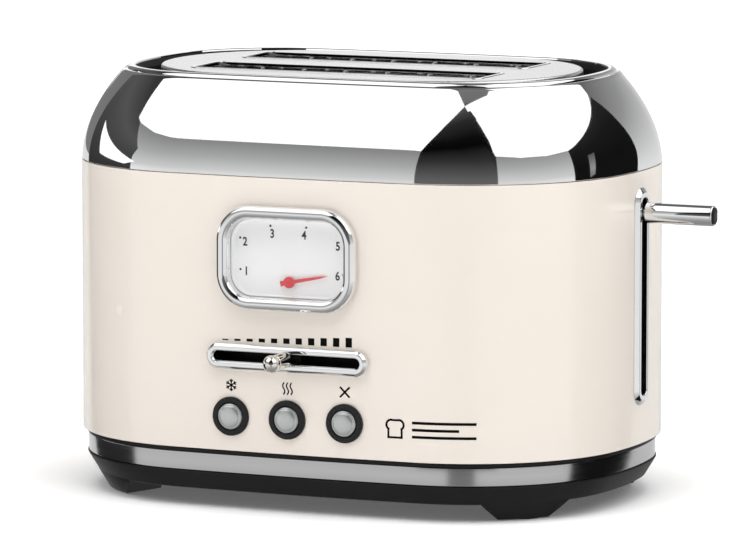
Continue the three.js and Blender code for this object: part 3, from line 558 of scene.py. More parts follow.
def circuit_board():
    """Green solder mask with pale tracks."""
    f = Finish("circuit_board", Coat_Weight=0.4)
    tracks = f.node("TexBrick", "Fac", None, Vector=f.stretched(1, 1, 1), Scale=260, Mortar_Size=0.04)
    f.set(Base_Color=f.blend(tracks, (0.02, 0.12, 0.05), (0.10, 0.30, 0.12)))
    f.set(Roughness=0.35 + 0.2 * f.noise(200, 2))
    return f.material


ENAMEL = cream_enamel()
CHROME = chrome()
TOP_STEEL = brushed("satin_top", (0.90, 0.90, 0.895), 0.26)
INNER_STEEL = brushed("plain_sheet", (0.50, 0.50, 0.49), 0.36, (5, 5, 700), 0.08)
WIRE_STEEL = chrome("bright_wire", (0.80, 0.80, 0.79), 0.16)
PIN_STEEL = chrome("pin_plating", (0.92, 0.90, 0.85), 0.03)
BAND_STEEL = brushed("polished_band", (0.60, 0.60, 0.60), 0.13, (3, 3, 1100), 0.02)
BLACK_SHEET = moulded("black_sheet", (0.006, 0.006, 0.006), 0.5, 500, shine=0.2)
BLACK_PLASTIC = moulded("black_plastic", (0.008, 0.008, 0.0085), 0.42, shine=0.25)
RING_PLASTIC = moulded("black_gloss_plastic", (0.008, 0.008, 0.009), 0.26, 1500, 0.03, 0.3)
RUBBER = moulded("rubber", (0.010, 0.010, 0.010), 0.75, 1200, 0.25, 0.25)
MICA = mica()
RIBBON = heating_ribbon()
WINDING = magnet_winding()
DIAL = dial_paint()
NEEDLE = needle_paint()
INK = printed_ink()
CAP = satin_cap()
GLASS = lens_glass()
BOARD = circuit_board()

# What the record's slots look like on the CAD nodes that stay.
SLOT_FINISHES = {
    "cream_paint": ENAMEL, "chrome": CHROME, "brushed_steel": TOP_STEEL, "plain_steel": INNER_STEEL,
    "black_steel": BLACK_SHEET, "polished_band": BAND_STEEL, "black_plastic": BLACK_PLASTIC,
    "rubber_pad": RUBBER, "mica_board": MICA, "heating_ribbon": RIBBON, "copper_winding": WINDING,
    "dial_plastic": DIAL, "clear_glass": GLASS, "red_plastic": NEEDLE, "circuit_board": BOARD,
    "satin_cap": CAP,
}


def dress_cad_nodes():
    slots = {part["node"]: part["material_slot"] for part in frame["record"]["subparts"]}
    for node, piece in frame["nodes"].items():
        for material_slot in piece.material_slots:
            material_slot.material = SLOT_FINISHES[slots[node]]


# ------------------------------------------------------------------ shell, dome and top plate

SHEET = 1.2
BEZEL_CORNER_R = 17
SLIDER_CORNER_R = 6
LEVER_CORNER_R = 7.4
BUTTON_HOLE_R = 7.6
GLAND_HOLE_R = 7.1
DOME_CURVE = 0.01
RIM_BEAD_R = 2.6
RIM_INSET = 24.4
OPENING_INSET = 27.6


def prism(name, outline, low, high, face, inset=0):
    """An outline, at one inset or one radius, raised from low to high."""
    return wrapped(name, outline, [(inset, low), (inset, high)], face, closed=False)


def outline_of(node, r, face="front", steps=14, side_steps=1):
    """A rounded rectangle round a node, as its face shows it."""
    low, high = mm_box(node)
    size = high - low
    centre = (low + high) / 2
    width, across = (size.x, centre.x) if face == "front" else (size.y, centre.y)
    return rounded_rectangle(across, centre.z, width, size.z, min(r, width / 2, size.z / 2 - 0.001),
                             steps, side_steps)


def make_shell():
    low, high = mm_box("outer_shell")
    corners = [(0, low.z), (0, high.z), (SHEET, high.z), (SHEET, low.z)]
    shell = wrapped("painted_shell", body_outline, softened(corners, 0.45))
    through_front = (half_depth - 6, half_depth + 6, "front")
    end_span = (half_length - 5, half_length + 4)
    cutters = [
        prism("gauge_hole", outline_of("gauge_bezel", BEZEL_CORNER_R), *through_front, 4),
        prism("slider_hole", outline_of("slider_trim", SLIDER_CORNER_R), *through_front, 3),
        prism("lever_hole", outline_of("lever_trim", LEVER_CORNER_R, "right"), *end_span, "right", 3.7),
    ]
    for i in (1, 2, 3):
        cap = middle(f"button_cap_{i}")
        cutters.append(prism("button_hole", circle(cap.x, cap.z), *through_front, BUTTON_HOLE_R))
    gland = middle("cord_gland")
    cutters.append(prism("gland_hole", circle(0, gland.z), *end_span, "left", GLAND_HOLE_R))
    tray_high = mm_box("crumb_tray")[1]
    mouth = tray_high.x - 4
    cutters.append(block("tray_mouth", (-mouth, half_depth - 12, low.z + 1),
                         (mouth, half_depth + 4, tray_high.z - 2)))
    for cutter in cutters:
        shell = carve(shell, cutter)
    return finished(shell, ENAMEL, "housing", "cream_paint", "outer_shell")


def make_dome():
    """One drawn sheet: a dome that closes in with the square of its height, then a rolled bead."""
    seam = mm_box("outer_shell")[1].z
    low, high = mm_box("top_cap")
    start, crease = seam + 0.3, high.z - 2.1
    deck = mm_box("deck_plate")[1].z + 0.3

    def dome(z):
        return DOME_CURVE * (z - seam + 2) ** 2

    steps = 36
    heights = [start + (crease - start) * i / steps for i in range(steps + 1)]
    outside = [(dome(z), z) for z in heights]
    outside[0] = (dome(start) + 0.25, start)
    outside.insert(1, (dome(start), start + 0.25))
    bead = arc(RIM_INSET, high.z - RIM_BEAD_R, RIM_BEAD_R, math.radians(166), math.radians(58), 12)
    groove = [(dome(crease) + 0.7, crease + 0.25), (dome(crease) + 1.1, crease - 0.15)]
    inner_wall = [(RIM_INSET + 1.6, high.z - 1.0), (RIM_INSET + 0.4, high.z - 1.4)]
    inside = [(dome(z) + 1.5, z - 1.1) for z in reversed(heights[2::6])]
    skirt = [(2.7, start), (2.7, low.z + 0.1), (1.5, low.z + 0.1), (1.5, start)]
    profile = outside + groove + bead + inner_wall + inside + skirt
    finished(wrapped("chrome_dome", body_outline, profile), CHROME, "housing", "chrome", "top_cap")

    # The liner inside the rim is black to paint the shade in the hollow between the rim and the top plate.
    wall = softened([(OPENING_INSET, deck), (OPENING_INSET, high.z - 4), (RIM_INSET + 1.7, high.z - 1.0),
                     (RIM_INSET + 0.6, high.z - 1.6), (OPENING_INSET - SHEET, high.z - 4.4),
                     (OPENING_INSET - SHEET, deck)], 0.2, 2)
    finished(wrapped("rim_liner_painted_shade", body_outline, wall), BLACK_SHEET, "housing", "black_steel")


def top_plate_outline():
    low, high = mm_box("top_plate")
    end_r = 75
    return bowed((high.x - low.x) / 2, (high.y - low.y) / 2, FRONT_BOW_R - OPENING_INSET, end_r, end_r * 0.85,
                 (10, 24, 20))


SLOT = {"length": 146, "width": 31, "corner": 3}


def make_top_plate():
    """A sheet with turned-down edges, and a rolled lip set into each bread slot."""
    low, high = mm_box("top_plate")
    top = high.z - 0.4
    pitch = middle("bread_lift_back").y - middle("bread_lift_front").y
    outline = top_plate_outline()
    edge = softened([(0, low.z), (0, top), (4, top)], 1.8, 6, closed=False)
    plate = wrapped("slotted_top", outline, edge, closed=False)
    plate = carve(plate, prism("hollow", outline, low.z - 2, top - SHEET, "top", SHEET))
    lips = []
    for side in (-1, 1):
        slot = rounded_rectangle(0, side * pitch / 2, SLOT["length"], SLOT["width"], SLOT["corner"], 8)
        plate = carve(plate, prism("slot", slot, low.z - 3, top + 2, "top"))
        wall = [(0.0, top - 6), (0.0, top + 0.4), (-1.7, top + 0.4), (-2.6, top - 0.3), (-1.2, top - 0.8),
                (-1.2, top - 6)]
        lips.append(wrapped("slot_lip", slot, softened(wall, 0.45)))
    finished(plate, TOP_STEEL, "housing", "brushed_steel", "top_plate")
    finished(merged("slot_lips", lips), CHROME, "housing", "chrome")


# ------------------------------------------------------------------ base, band and feet

LIP_INSET = 1.9
SKIRT_SLOPE = 0.595
FOOT_TOP = 8.2
FOOT_WIDTHS = (46, 27)
SCREW_PLACE = (97.5, 40.5)
CORNERS = ((1, -1), (1, 1), (-1, 1), (-1, -1))


def corner_frame(sx, sy, u0, v0):
    """A frame that looks out across one corner: u along the corner, w outwards."""
    def place(u, v, w):
        across = Vector((sx, -sy, 0)).normalized() * u
        out = Vector((sx, sy, 0)).normalized() * w
        return (body_centre + Vector((sx * u0, sy * v0, v)) + across + out) * MM
    return place


def corner_point(inset):
    return max(body_outline(inset), key=sum)


def make_base():
    """A skirt that slopes in to the feet, a ledge, the band's recess and a lip under the shell."""
    ledge = mm_box("base_band")[0].z - 0.3
    lip = mm_box("base_band")[1].z + 0.3
    top = mm_box("base")[1].z - 0.5
    sole = mm_box("base")[0].z
    skirt = LIP_INSET + SKIRT_SLOPE * (ledge - FOOT_TOP)
    recess, wall = 4.2, 6.7
    profile = softened([
        (skirt + 0.6, FOOT_TOP), (skirt, FOOT_TOP + 0.3), (LIP_INSET, ledge), (recess, ledge), (recess, lip),
        (LIP_INSET, lip), (LIP_INSET, top), (wall, top), (wall, ledge), (skirt + 2.5, FOOT_TOP + 2.5),
    ], 0.5, 4, closed=False)
    base = wrapped("moulded_base", body_outline, profile, closed=False)
    reach = skirt + SKIRT_SLOPE * (FOOT_TOP - sole)
    cx, cy = corner_point(skirt)
    top_half, sole_half = (width / 2 for width in FOOT_WIDTHS)

    def side(inset):
        rim = [(top_half - inset, FOOT_TOP + 1), (sole_half - inset, sole)]
        return [(-u, v) for u, v in rim] + rim[::-1]

    feet = []
    for i, (sx, sy) in enumerate(CORNERS):
        out = corner_frame(sx, sy, cx, cy)
        foot = wrapped("foot", side, [(10, -26), (0, -4), (0, 12)], out, closed=False)
        envelope = [(reach, sole), (skirt, FOOT_TOP), (skirt, FOOT_TOP + 1)]
        foot = carve(foot, wrapped("envelope", body_outline, envelope, closed=False), "INTERSECT")
        foot = bevelled(foot, 0.9, 3)
        low, high = mm_box(f"foot_pad_{i + 1}")
        centre, r = (low + high) / 2, (high.x - low.x) / 2 + 0.3
        recess_cut = prism("recess", circle(centre.x, centre.y), sole - 2, high.z + 0.3, "top", r)
        feet.append(carve(foot, recess_cut))
    base = merged("moulded_base", [base] + feet)
    finished(base, BLACK_PLASTIC, "housing", "black_plastic", "base")

    band_low, band_high = mm_box("base_band")
    band = softened([(2.7, band_low.z), (2.7, band_high.z), (3.9, band_high.z), (3.9, band_low.z)], 0.35)
    finished(wrapped("bright_band", body_outline, band), BAND_STEEL, "housing", "polished_band", "base_band")

    for i in range(1, 5):
        low, high = mm_box(f"foot_pad_{i}")
        centre, r = (low + high) / 2, (high.x - low.x) / 2
        rings = [(r - 1.6, 0.35), (r - 1.6, 0.0), (r - 0.5, 0.0), (r, 0.5), (r, high.z), (0, high.z)]
        pad = wrapped("rubber_pad", circle(centre.x, centre.y, 48), [(0, 0.35)] + rings, closed=False)
        pad.name = f"rubber_pad_{i}"
        finished(pad, RUBBER, "housing", "rubber_pad", f"foot_pad_{i}")


def make_base_screws():
    """Four recessed screws under the base, each with a crossed drive."""
    z = FOOT_TOP
    screws = []
    for sx, sy in CORNERS:
        x, y = sx * SCREW_PLACE[0], sy * SCREW_PLACE[1]
        rings = [(0, z - 0.2), (2.2, z - 0.5), (3.1, z - 0.1), (3.1, z + 1)]
        head = wrapped("screw", circle(x, y, 32), rings, closed=False)
        for width, depth in ((3.6, 0.7), (0.7, 3.6)):
            du, dv = width / 2, depth / 2
            head = carve(head, block("drive", (x - du, y - dv, z - 1), (x + du, y + dv, z + 0.3)))
        screws.append(head)
    finished(merged("base_screws", screws), INNER_STEEL, "housing", "plain_steel")


# ------------------------------------------------------------------ gauge

GAUGE_TUBE = 6.2
NEEDLE_REST_DEGREES = 11
FIGURE_SIZE = 5.4
FIGURE_SHAPE = (0.86, 1.04, 1)


def make_gauge():
    outline = outline_of("gauge_bezel", BEZEL_CORNER_R, steps=24)
    face, front = half_depth, -mm_box("gauge_bezel")[0].y
    r = GAUGE_TUBE / 2
    tube = [(0, face - 1.2)] + arc(r, front - r, r, math.pi, 0, 20)
    tube += [(GAUGE_TUBE, face - 0.4), (GAUGE_TUBE - 1.4, face - 0.4), (GAUGE_TUBE - 1.4, face - 1.6),
             (1, face - 1.6)]
    finished(wrapped("gauge_rim", outline, tube, "front"), CHROME, "housing", "chrome", "gauge_bezel")

    back = -mm_box("gauge_housing")[1].y
    well = [(GAUGE_TUBE, face - 4.4), (GAUGE_TUBE, face - 0.5), (GAUGE_TUBE - 1.5, face - 0.5),
            (GAUGE_TUBE - 1.5, back), (GAUGE_TUBE + 1, back), (GAUGE_TUBE + 1, face - 4.4)]
    finished(wrapped("gauge_well", outline, softened(well, 0.25), "front"), BLACK_PLASTIC, "housing",
             "black_plastic", "gauge_housing")

    dial_front = -mm_box("gauge_dial")[0].y
    hub = (0, middle("gauge_spindle").z)
    wall = GAUGE_TUBE + 0.1
    cup = [(wall, dial_front - 0.8), (wall, face - 0.5), (wall + 0.5, face - 0.5),
           (wall + 0.7, dial_front + 0.4), (wall + 1.1, dial_front)]
    plate = wrapped("gauge_face", outline, cup, "front", closed=False)
    plate = carve(plate, prism("bore", circle(*hub, 32), dial_front - 2, dial_front + 2, "front", 1.3))
    finished(plate, DIAL, "housing", "dial_plastic", "gauge_dial")

    lens = [(GAUGE_TUBE - 1.1, face + 0.6), (GAUGE_TUBE - 1.1, face + 1.3), (GAUGE_TUBE + 0.4, face + 1.62),
            (9, face + 1.9), (12, face + 2.1), (16.4, face + 2.25)]
    finished(wrapped("gauge_glass", outline, lens, "front", closed=False), GLASS, "housing", "clear_glass",
             "gauge_lens")
    make_dial_marks(dial_front)
    make_needle(hub, dial_front)


# Each number's place on the dial, and its dot's place beside it.
DIAL_NUMBERS = {
    "1": ((-22.3, 113.1), (-3.0, 0.9)), "2": ((-22.9, 126.9), (-2.5, 1.9)),
    "3": ((-9.0, 131.2), (-0.9, 3.8)), "4": ((7.2, 131.2), (1.1, 3.8)),
    "5": ((24.4, 126.9), (2.8, 1.9)), "6": ((24.2, 113.0), (2.8, 0.9)),
}


def make_dial_marks(dial_front):
    marks = []
    for number, ((u, v), (du, dv)) in DIAL_NUMBERS.items():
        clear_selection()
        bpy.ops.object.text_add()
        figure = bpy.context.object
        figure.data.body = number
        figure.data.size = FIGURE_SIZE * MM
        figure.data.align_x = "CENTER"
        figure.data.align_y = "CENTER"
        figure.data.extrude = 0.03 * MM
        figure.data.offset = 0.14 * MM
        choose(figure)
        bpy.ops.object.convert(target="MESH")
        bpy.ops.object.mode_set(mode="EDIT")
        weld_all()
        bpy.ops.object.mode_set(mode="OBJECT")
        figure.rotation_euler = (math.pi / 2, 0, 0)
        figure.scale = FIGURE_SHAPE
        figure.location = FACES["front"](u, v, dial_front + 0.02)
        marks.append(settle(figure))
        dot = circle(u + du, v + dv, 24)
        marks.append(prism("dot", dot, dial_front - 0.1, dial_front + 0.05, "front", 0.55))
    finished(merged("dial_numbers", marks), INK, "housing", "dial_plastic")


def make_needle(hub, dial_front):
    """A flat tapered pointer with a short tail, on a domed hub."""
    length, tail = 20.3, 4.5
    turn = math.radians(NEEDLE_REST_DEGREES)

    def place(u, v, w):
        along = u * math.cos(turn) - v * math.sin(turn)
        up = u * math.sin(turn) + v * math.cos(turn)
        return FACES["front"](hub[0] + along, hub[1] + up, w)

    def pointer(e):
        return [(length - 3 * e, 0), (length * 0.8, 0.5 - e * 0.7), (0, 0.95 - e), (-tail + e, 1.3 - e),
                (-tail + e, -1.3 + e), (0, -0.95 + e), (length * 0.8, -0.5 + e * 0.7)]
    levels = [(0, dial_front + 0.9), (0, dial_front + 1.25), (0.25, dial_front + 1.5)]
    blade = wrapped("needle", pointer, levels, place, closed=False)
    r = 2.7
    dome = [(0, dial_front + 0.5), (r, dial_front + 0.5), (r, dial_front + 1.5),
            (r - 0.35, dial_front + 1.95), (r * 0.55, dial_front + 2.15), (0, dial_front + 2.2)]
    boss = wrapped("boss", circle(*hub, 48), dome, "front", closed=False)
    finished(merged("pointer_needle", [blade, boss]), NEEDLE, "needle", "red_plastic", "gauge_needle")


# ------------------------------------------------------------------ slider and buttons

def make_slider():
    front, face = -mm_box("slider_trim")[0].y, half_depth
    outline = outline_of("slider_trim", SLIDER_CORNER_R, steps=24, side_steps=6)
    frame_profile = softened([(0, face - 1.6), (0, front - 1.3), (1.3, front), (3.1, front), (4, front - 1.1),
                              (4, face - 3.2), (3.2, face - 3.2), (3.2, face - 1.6)], 0.55, 5)
    finished(wrapped("slider_frame", outline, frame_profile, "front"), CHROME, "housing", "chrome",
             "slider_trim")

    knob_low, knob_high = mm_box("slider_knob")
    tip, root = -knob_low.y, -knob_high.y
    z = (knob_low.z + knob_high.z) / 2
    ball_r = (knob_high.x - knob_low.x) / 2
    stem_r = ball_r - 0.4
    collar = front + 0.4
    neck = math.acos((stem_r - 0.25) / ball_r)
    stem = [(0, root), (1.9, root), (1.9, collar), (stem_r - 0.4, collar), (stem_r, collar + 0.4)]
    ball = arc(0, tip - ball_r, ball_r, -neck, math.pi / 2, 16)
    stem += [(stem_r, ball[0][1] - 0.4), (stem_r - 0.25, ball[0][1] - 0.15)]
    finished(wrapped("slider_pin", circle(0, z, 56), stem + ball[:-1] + [(0, tip)], "front", closed=False),
             PIN_STEEL, "browning_slider", "chrome", "slider_knob")


def make_buttons():
    for i in (1, 2, 3):
        cap_low, cap_high = mm_box(f"button_cap_{i}")
        x, z = (cap_low.x + cap_high.x) / 2, (cap_low.z + cap_high.z) / 2
        face = face_reach(x)
        r = (cap_high.x - cap_low.x) / 2
        ring = softened([(9.2, face - 1.0), (9.2, face + 1.5), (r + 0.35, face + 1.5), (r + 0.35, face - 7),
                         (r + 1.1, face - 7), (r + 1.1, face - 1.0)], 0.7, 5)
        finished(wrapped(f"button_bezel_{i}", circle(x, z, 72), ring, "front"), RING_PLASTIC, "housing",
                 "black_plastic", f"button_ring_{i}")
        edge = face + 1.6
        back = -cap_high.y
        crown = [(0, back), (2.4, back), (2.4, face - 5), (r, face - 5), (r, edge)]
        crown += [(r - 0.9 + 0.9 * math.cos(math.radians(a)), edge + 0.55 * math.sin(math.radians(a)))
                  for a in range(15, 91, 15)]
        crown += [((r - 0.9) * math.cos(math.radians(a)), edge + 0.55 + 0.8 * math.sin(math.radians(a)))
                  for a in range(20, 80, 12)] + [(0, edge + 1.36)]
        finished(wrapped(f"push_button_{i}", circle(x, z, 72), crown, "front", closed=False), CAP,
                 f"button_{i}", "satin_cap", f"button_cap_{i}")


# ------------------------------------------------------------------ lever

def make_lever():
    outline = outline_of("lever_trim", LEVER_CORNER_R, "right", 20, 8)
    face, front = half_length, mm_box("lever_trim")[1].x
    slot = 4.75
    rim = softened([(0, face - 1.4), (0, face + 0.4), (2.3, front), (slot - 0.3, front), (slot, front - 0.3),
                    (slot, face - 2), (slot - 0.8, face - 2), (slot - 0.8, face - 1.4)], 0.25, 4)
    finished(wrapped("lever_surround", outline, rim, "right"), CHROME, "housing", "chrome", "lever_trim")

    rod_low, rod_high = mm_box("lever_rod")
    z = (rod_low.z + rod_high.z) / 2
    root, tip, collar = rod_low.x, rod_high.x, half_length + 3.2
    r = (rod_high.y - rod_low.y) / 2
    rod = [(0, root), (3.1, root), (3.1, collar), (r - 0.4, collar), (r, collar + 0.4), (r, tip - 0.9),
           (r - 0.1, tip - 0.45), (r - 0.4, tip - 0.1), (r - 0.7, tip), (r - 1.0, tip - 0.2),
           (r - 1.0, tip - 0.9), (0, tip - 0.9)]
    finished(wrapped("lever_handle", circle(0, z, 64), rod, "right", closed=False), CHROME, "lever_carriage",
             "chrome", "lever_rod")
    plug = [(0, tip - 1.0), (r - 1.05, tip - 1.0), (r - 1.05, tip - 0.4), (r - 1.4, tip - 0.15),
            (0, tip - 0.1)]
    finished(wrapped("lever_plug", circle(0, z, 48), plug, "right", closed=False), BLACK_PLASTIC,
             "lever_carriage", "black_plastic")


# ------------------------------------------------------------------ inside

def wire(name, path, r, sides=16):
    """A round wire along a path of points on the body's centre line, with rounded ends."""
    points = [Vector(p) for p in path]
    ends = ((points[1] - points[0]).normalized(), (points[-1] - points[-2]).normalized())
    stops = [(points[0], 0.0), (points[0] + ends[0] * r * 0.25, r * 0.75),
             (points[0] + ends[0] * r * 0.8, r)]
    stops += [(p, r) for p in points[1:-1]]
    stops += [(points[-1] - ends[1] * r * 0.8, r), (points[-1] - ends[1] * r * 0.25, r * 0.75),
              (points[-1], 0.0)]
    rings = []
    for k, (point, radius) in enumerate(stops):
        ahead = stops[min(k + 1, len(stops) - 1)][0] - stops[max(k - 1, 0)][0]
        turn = ahead.to_track_quat("Z", "Y")
        angles = [2 * math.pi * i / sides for i in range(sides)]
        offsets = [turn @ Vector((radius * math.cos(a), radius * math.sin(a), 0)) for a in angles]
        rings.append([(body_centre + point + off) * MM for off in offsets])
    piece = rings_in_edit_mode(name, rings)
    weld_all()
    return turned_outward(piece, 60)


def copied(piece, shift):
    """A copy with its own mesh, moved in millimetres."""
    twin = piece.copy()
    twin.data = piece.data.copy()
    bpy.context.scene.collection.objects.link(twin)
    twin.location = Vector(shift) * MM
    return settle(twin)


SLOT_PLACES = ("front", "back")
GUIDE_WIRES = 7
WIRE_R = 1.0
UPRIGHT_R = 0.85


def make_guides():
    """Wire cages that hold the bread upright: one is bent up, and the rest are copies of it."""
    low, high = mm_box("bread_guide_front_outer")
    y = (low.y + high.y) / 2
    bottom, top = low.z + WIRE_R, high.z - WIRE_R
    tip = mm_box("top_plate")[1].z - 3.5
    pitch = SLOT["length"] / GUIDE_WIRES
    half = pitch * (GUIDE_WIRES - 1) / 2
    rods = [wire("rod", [(low.x, y, bottom), (0, y, bottom), (high.x, y, bottom)], WIRE_R),
            wire("rod", [(-half - 4, y, top), (0, y, top), (half + 4, y, top)], WIRE_R)]
    for i in range(GUIDE_WIRES):
        x = -half + i * pitch
        rods.append(wire("upright", [(x, y, bottom - 0.5), (x, y, top), (x, y, tip)], UPRIGHT_R))
    first = merged("bread_cage_front_outer", rods)
    for place in SLOT_PLACES:
        for side in ("outer", "inner"):
            node = f"bread_guide_{place}_{side}"
            shift = middle(node).y - y
            cage = copied(first, (0, shift, 0)) if abs(shift) > 0.01 else first
            cage.name = f"bread_cage_{place}_{side}"
            finished(cage, WIRE_STEEL, node, "plain_steel", node)


def make_heaters():
    """Mica boards with notched edges, wound with flat ribbon in close turns."""
    for place in ("front", "middle", "back"):
        low, high = mm_box(f"heater_board_{place}")
        y = (low.y + high.y) / 2
        if place == "front":
            board = block("mica_sheet", low, high)
            turns, half = [], (high.x - low.x) / 2
            count, pitch = 24, 4.6
            for k in range(count):
                z = high.z - 9 - k * pitch
                loop = rounded_rectangle(0, y, 2 * half + 1.0, 2.0, 0.4, 2)
                turns.append(wrapped("turn", loop, [(0, z), (0, z + 1.5), (0.25, z + 1.5), (0.25, z)], "top"))
            for side in (-1, 1):
                for k in range(count):
                    z = high.z - 9 - k * pitch
                    x = side * half
                    notch = block("notch", (x - 0.7, y - 2, z - 0.3), (x + 0.7, y + 2, z + 1.8))
                    board = carve(board, notch)
            ribbon = merged("ribbon", turns)
            first_y, first_board, first_ribbon = y, board, ribbon
        else:
            board = copied(first_board, (0, y - first_y, 0))
            ribbon = copied(first_ribbon, (0, y - first_y, 0))
        board.name = f"mica_sheet_{place}"
        ribbon.name = f"ribbon_turns_{place}"
        finished(board, MICA, "housing", "mica_board", f"heater_board_{place}")
        finished(ribbon, RIBBON, "housing", "heating_ribbon", f"heater_winding_{place}")


def make_lifts():
    """A folded strip along each slot with cross fingers that pass between the cage wires."""
    for place in SLOT_PLACES:
        low, high = mm_box(f"bread_lift_{place}")
        y = (low.y + high.y) / 2
        strip = block("lift_strip", (low.x, y - 1, low.z), (high.x, y + 1, high.z - 0.5), edge=0.35)
        pieces = [strip]
        pitch = SLOT["length"] / GUIDE_WIRES
        for i in range(GUIDE_WIRES - 1):
            x = (i - (GUIDE_WIRES - 2) / 2) * pitch
            pieces.append(block("finger", (x - 2, low.y, high.z - 1.5), (x + 2, high.y, high.z), edge=0.5,
                                segments=3))
        finished(merged(f"bread_rest_{place}", pieces), INNER_STEEL, "lever_carriage", "plain_steel",
                 f"bread_lift_{place}")


def make_tray():
    """A folded pan with a grip plate that follows the body's back, and a finger lip."""
    low, high = mm_box("crumb_tray")
    half, front = 75, low.y
    floor, wall_top = low.z + 0.4, low.z + 0.4 + 6.5
    back = face_reach(half) - 2
    pan = block("pan", (-half, front, floor), (half, back, wall_top))
    pan = carve(pan, block("hollow", (-half + 1, front + 1, floor + 1), (half - 1, back - 1, wall_top + 2)))
    pan = bevelled(pan, 0.3)
    plate = [(-0.35, low.z + 0.1), (-2.3, low.z + 0.1), (-2.3, high.z), (-0.35, high.z)]
    grip = wrapped("grip", body_outline, softened(plate, 0.45))
    span = block("span", (-half - 4, 20, 0), (half + 4, half_depth + 12, high.z + 5))
    grip = carve(grip, span, "INTERSECT")
    lip = block("lip", (-16, half_depth + 0.8, high.z - 3), (16, high.y, high.z - 1), edge=0.9, segments=4)
    tongue = block("tongue", (-half, back - 1, floor), (half, half_depth - 2.5, floor + 4))
    finished(merged("crumb_pan", [pan, grip, lip, tongue]), INNER_STEEL, "tray", "plain_steel", "crumb_tray")


def make_gland():
    z, face = middle("cord_gland").z, half_length
    profile = [(10, face - 1.5), (10, face + 1.2), (8.2, face + 3), (7.4, face + 3), (7.1, face + 2.4),
               (6.5, face + 2.4), (6.2, face + 3), (4, face + 3), (4, face - 8), (6.7, face - 8),
               (6.7, face - 1.5)]
    gland = wrapped("cord_inlet", circle(0, z, 72), softened(profile, 0.35, 3), "left")
    finished(gland, BLACK_PLASTIC, "housing", "black_plastic", "cord_gland")


# ------------------------------------------------------------------ printed marks

def mark(outline):
    """A thin printed shape that follows the bowed front."""
    return wrapped("mark", outline, [(0, -0.25), (0, 0.035)], "skin", closed=False)


def bar(u0, v0, u1, v1, width=0.65, cap=0.5):
    """A printed stroke between two points, longer at each end by a share of its width."""
    along = Vector((u1 - u0, v1 - v0)).normalized()
    side = Vector((-along.y, along.x)) * (width / 2)
    a, b = Vector((u0, v0)) - along * width * cap, Vector((u1, v1)) + along * width * cap
    count = max(1, round((b - a).length / 4))
    line = [a.lerp(b, k / count) for k in range(count + 1)]
    pieces = [mark(lambda _: [tuple(p - side), tuple(q - side), tuple(q + side), tuple(p + side)])
              for p, q in zip(line, line[1:])]
    return merged("mark", pieces)


def make_browning_scale():
    """Eleven printed bars over the slider that grow to the right."""
    count, left, right, width = 11, -32.0, 31.0, 3.2
    bottom = mm_box("slider_trim")[1].z + 1.2
    bars = []
    for i in range(count):
        share = i / (count - 1)
        u = left + (right - left) * share
        bars.append(bar(u, bottom, u, bottom + 0.6 + 3.9 * share, width, cap=0))
    finished(merged("browning_scale", bars), INK, "housing", "black_plastic")


def make_button_icons():
    """A snowflake, rising heat and a cross over the three buttons."""
    v = 59.6
    marks = []
    x = middle("button_cap_1").x
    for k in range(3):
        a = math.radians(60 * k + 30)
        du, dv = 2.6 * math.cos(a), 2.6 * math.sin(a)
        marks.append(bar(x - du, v - dv, x + du, v + dv))
        for end in (-1, 1):
            for turn in (-1, 1):
                b = a + math.radians(40) * turn
                tip = Vector((x + end * du * 0.55, v + end * dv * 0.55))
                end_u, end_v = tip.x + end * 1.1 * math.cos(b), tip.y + end * 1.1 * math.sin(b)
                marks.append(bar(tip.x, tip.y, end_u, end_v, 0.5))
    x = middle("button_cap_2").x
    for k in (-1, 0, 1):
        last = None
        for step in range(13):
            w = v - 2.6 + 5.2 * step / 12
            point = (x + 1.9 * k + 0.5 * math.sin(2 * math.pi * step / 12), w)
            if last:
                marks.append(bar(*last, *point))
            last = point
    x = middle("button_cap_3").x
    marks += [bar(x - 2.1, slope, x + 2.1, 2 * v - slope, 0.95) for slope in (v - 2.1, v + 2.1)]
    finished(merged("button_icons", marks), INK, "housing", "black_plastic")


def make_bread_mark():
    """A plain slice of bread in outline beside three lines."""
    centre_u, centre_v = 54.0, 43.8
    size = 4.6
    ear, ear_r, foot = size * 0.42, size * 0.5, size * 0.72
    loaf = arc(centre_u - ear, centre_v + ear, ear_r, math.radians(75), math.radians(235), 14)
    loaf += [(centre_u - foot, centre_v - size * 0.85), (centre_u + foot, centre_v - size * 0.85)]
    loaf += arc(centre_u + ear, centre_v + ear, ear_r, math.radians(-55), math.radians(105), 14)
    marks = [bar(*loaf[i - 1], *loaf[i], 1.0) for i in range(len(loaf))]
    for k, length in enumerate((29, 21, 29)):
        v = centre_v + 3.3 - 3.3 * k
        marks.append(bar(centre_u + 9, v, centre_u + 9 + length, v, 1.3))
    finished(merged("bread_mark", marks), INK, "housing", "black_plastic")


# ------------------------------------------------------------------ camera, floor and light

def make_camera():
    clear_selection()
    bpy.ops.object.camera_add()
    camera = bpy.context.object
    camera.name = "camera"
    here = (body_centre + Vector((1189.2, -2691.1, 474.1))) * MM
    aim = (body_centre + Vector((1.65, 0.63, 100.5))) * MM
    camera.location = here
    camera.rotation_euler = (aim - here).to_track_quat("-Z", "Y").to_euler()
    camera.data.sensor_width = 36
    camera.data.lens = 298
    camera.data.clip_end = 60
    bpy.context.scene.camera = camera


# Panels stand on spheres, in metres. The smallest ones are nearer, to show in front of the large ones.
PANEL_DISTANCE = 9.0
STRIP_DISTANCE = 6
CARD_DISTANCE = 5
PANEL_HEIGHT = 0.15


def direction(azimuth, elevation):
    a, e = math.radians(azimuth), math.radians(elevation)
    return Vector((math.cos(a) * math.cos(e), math.sin(a) * math.cos(e), math.sin(e)))


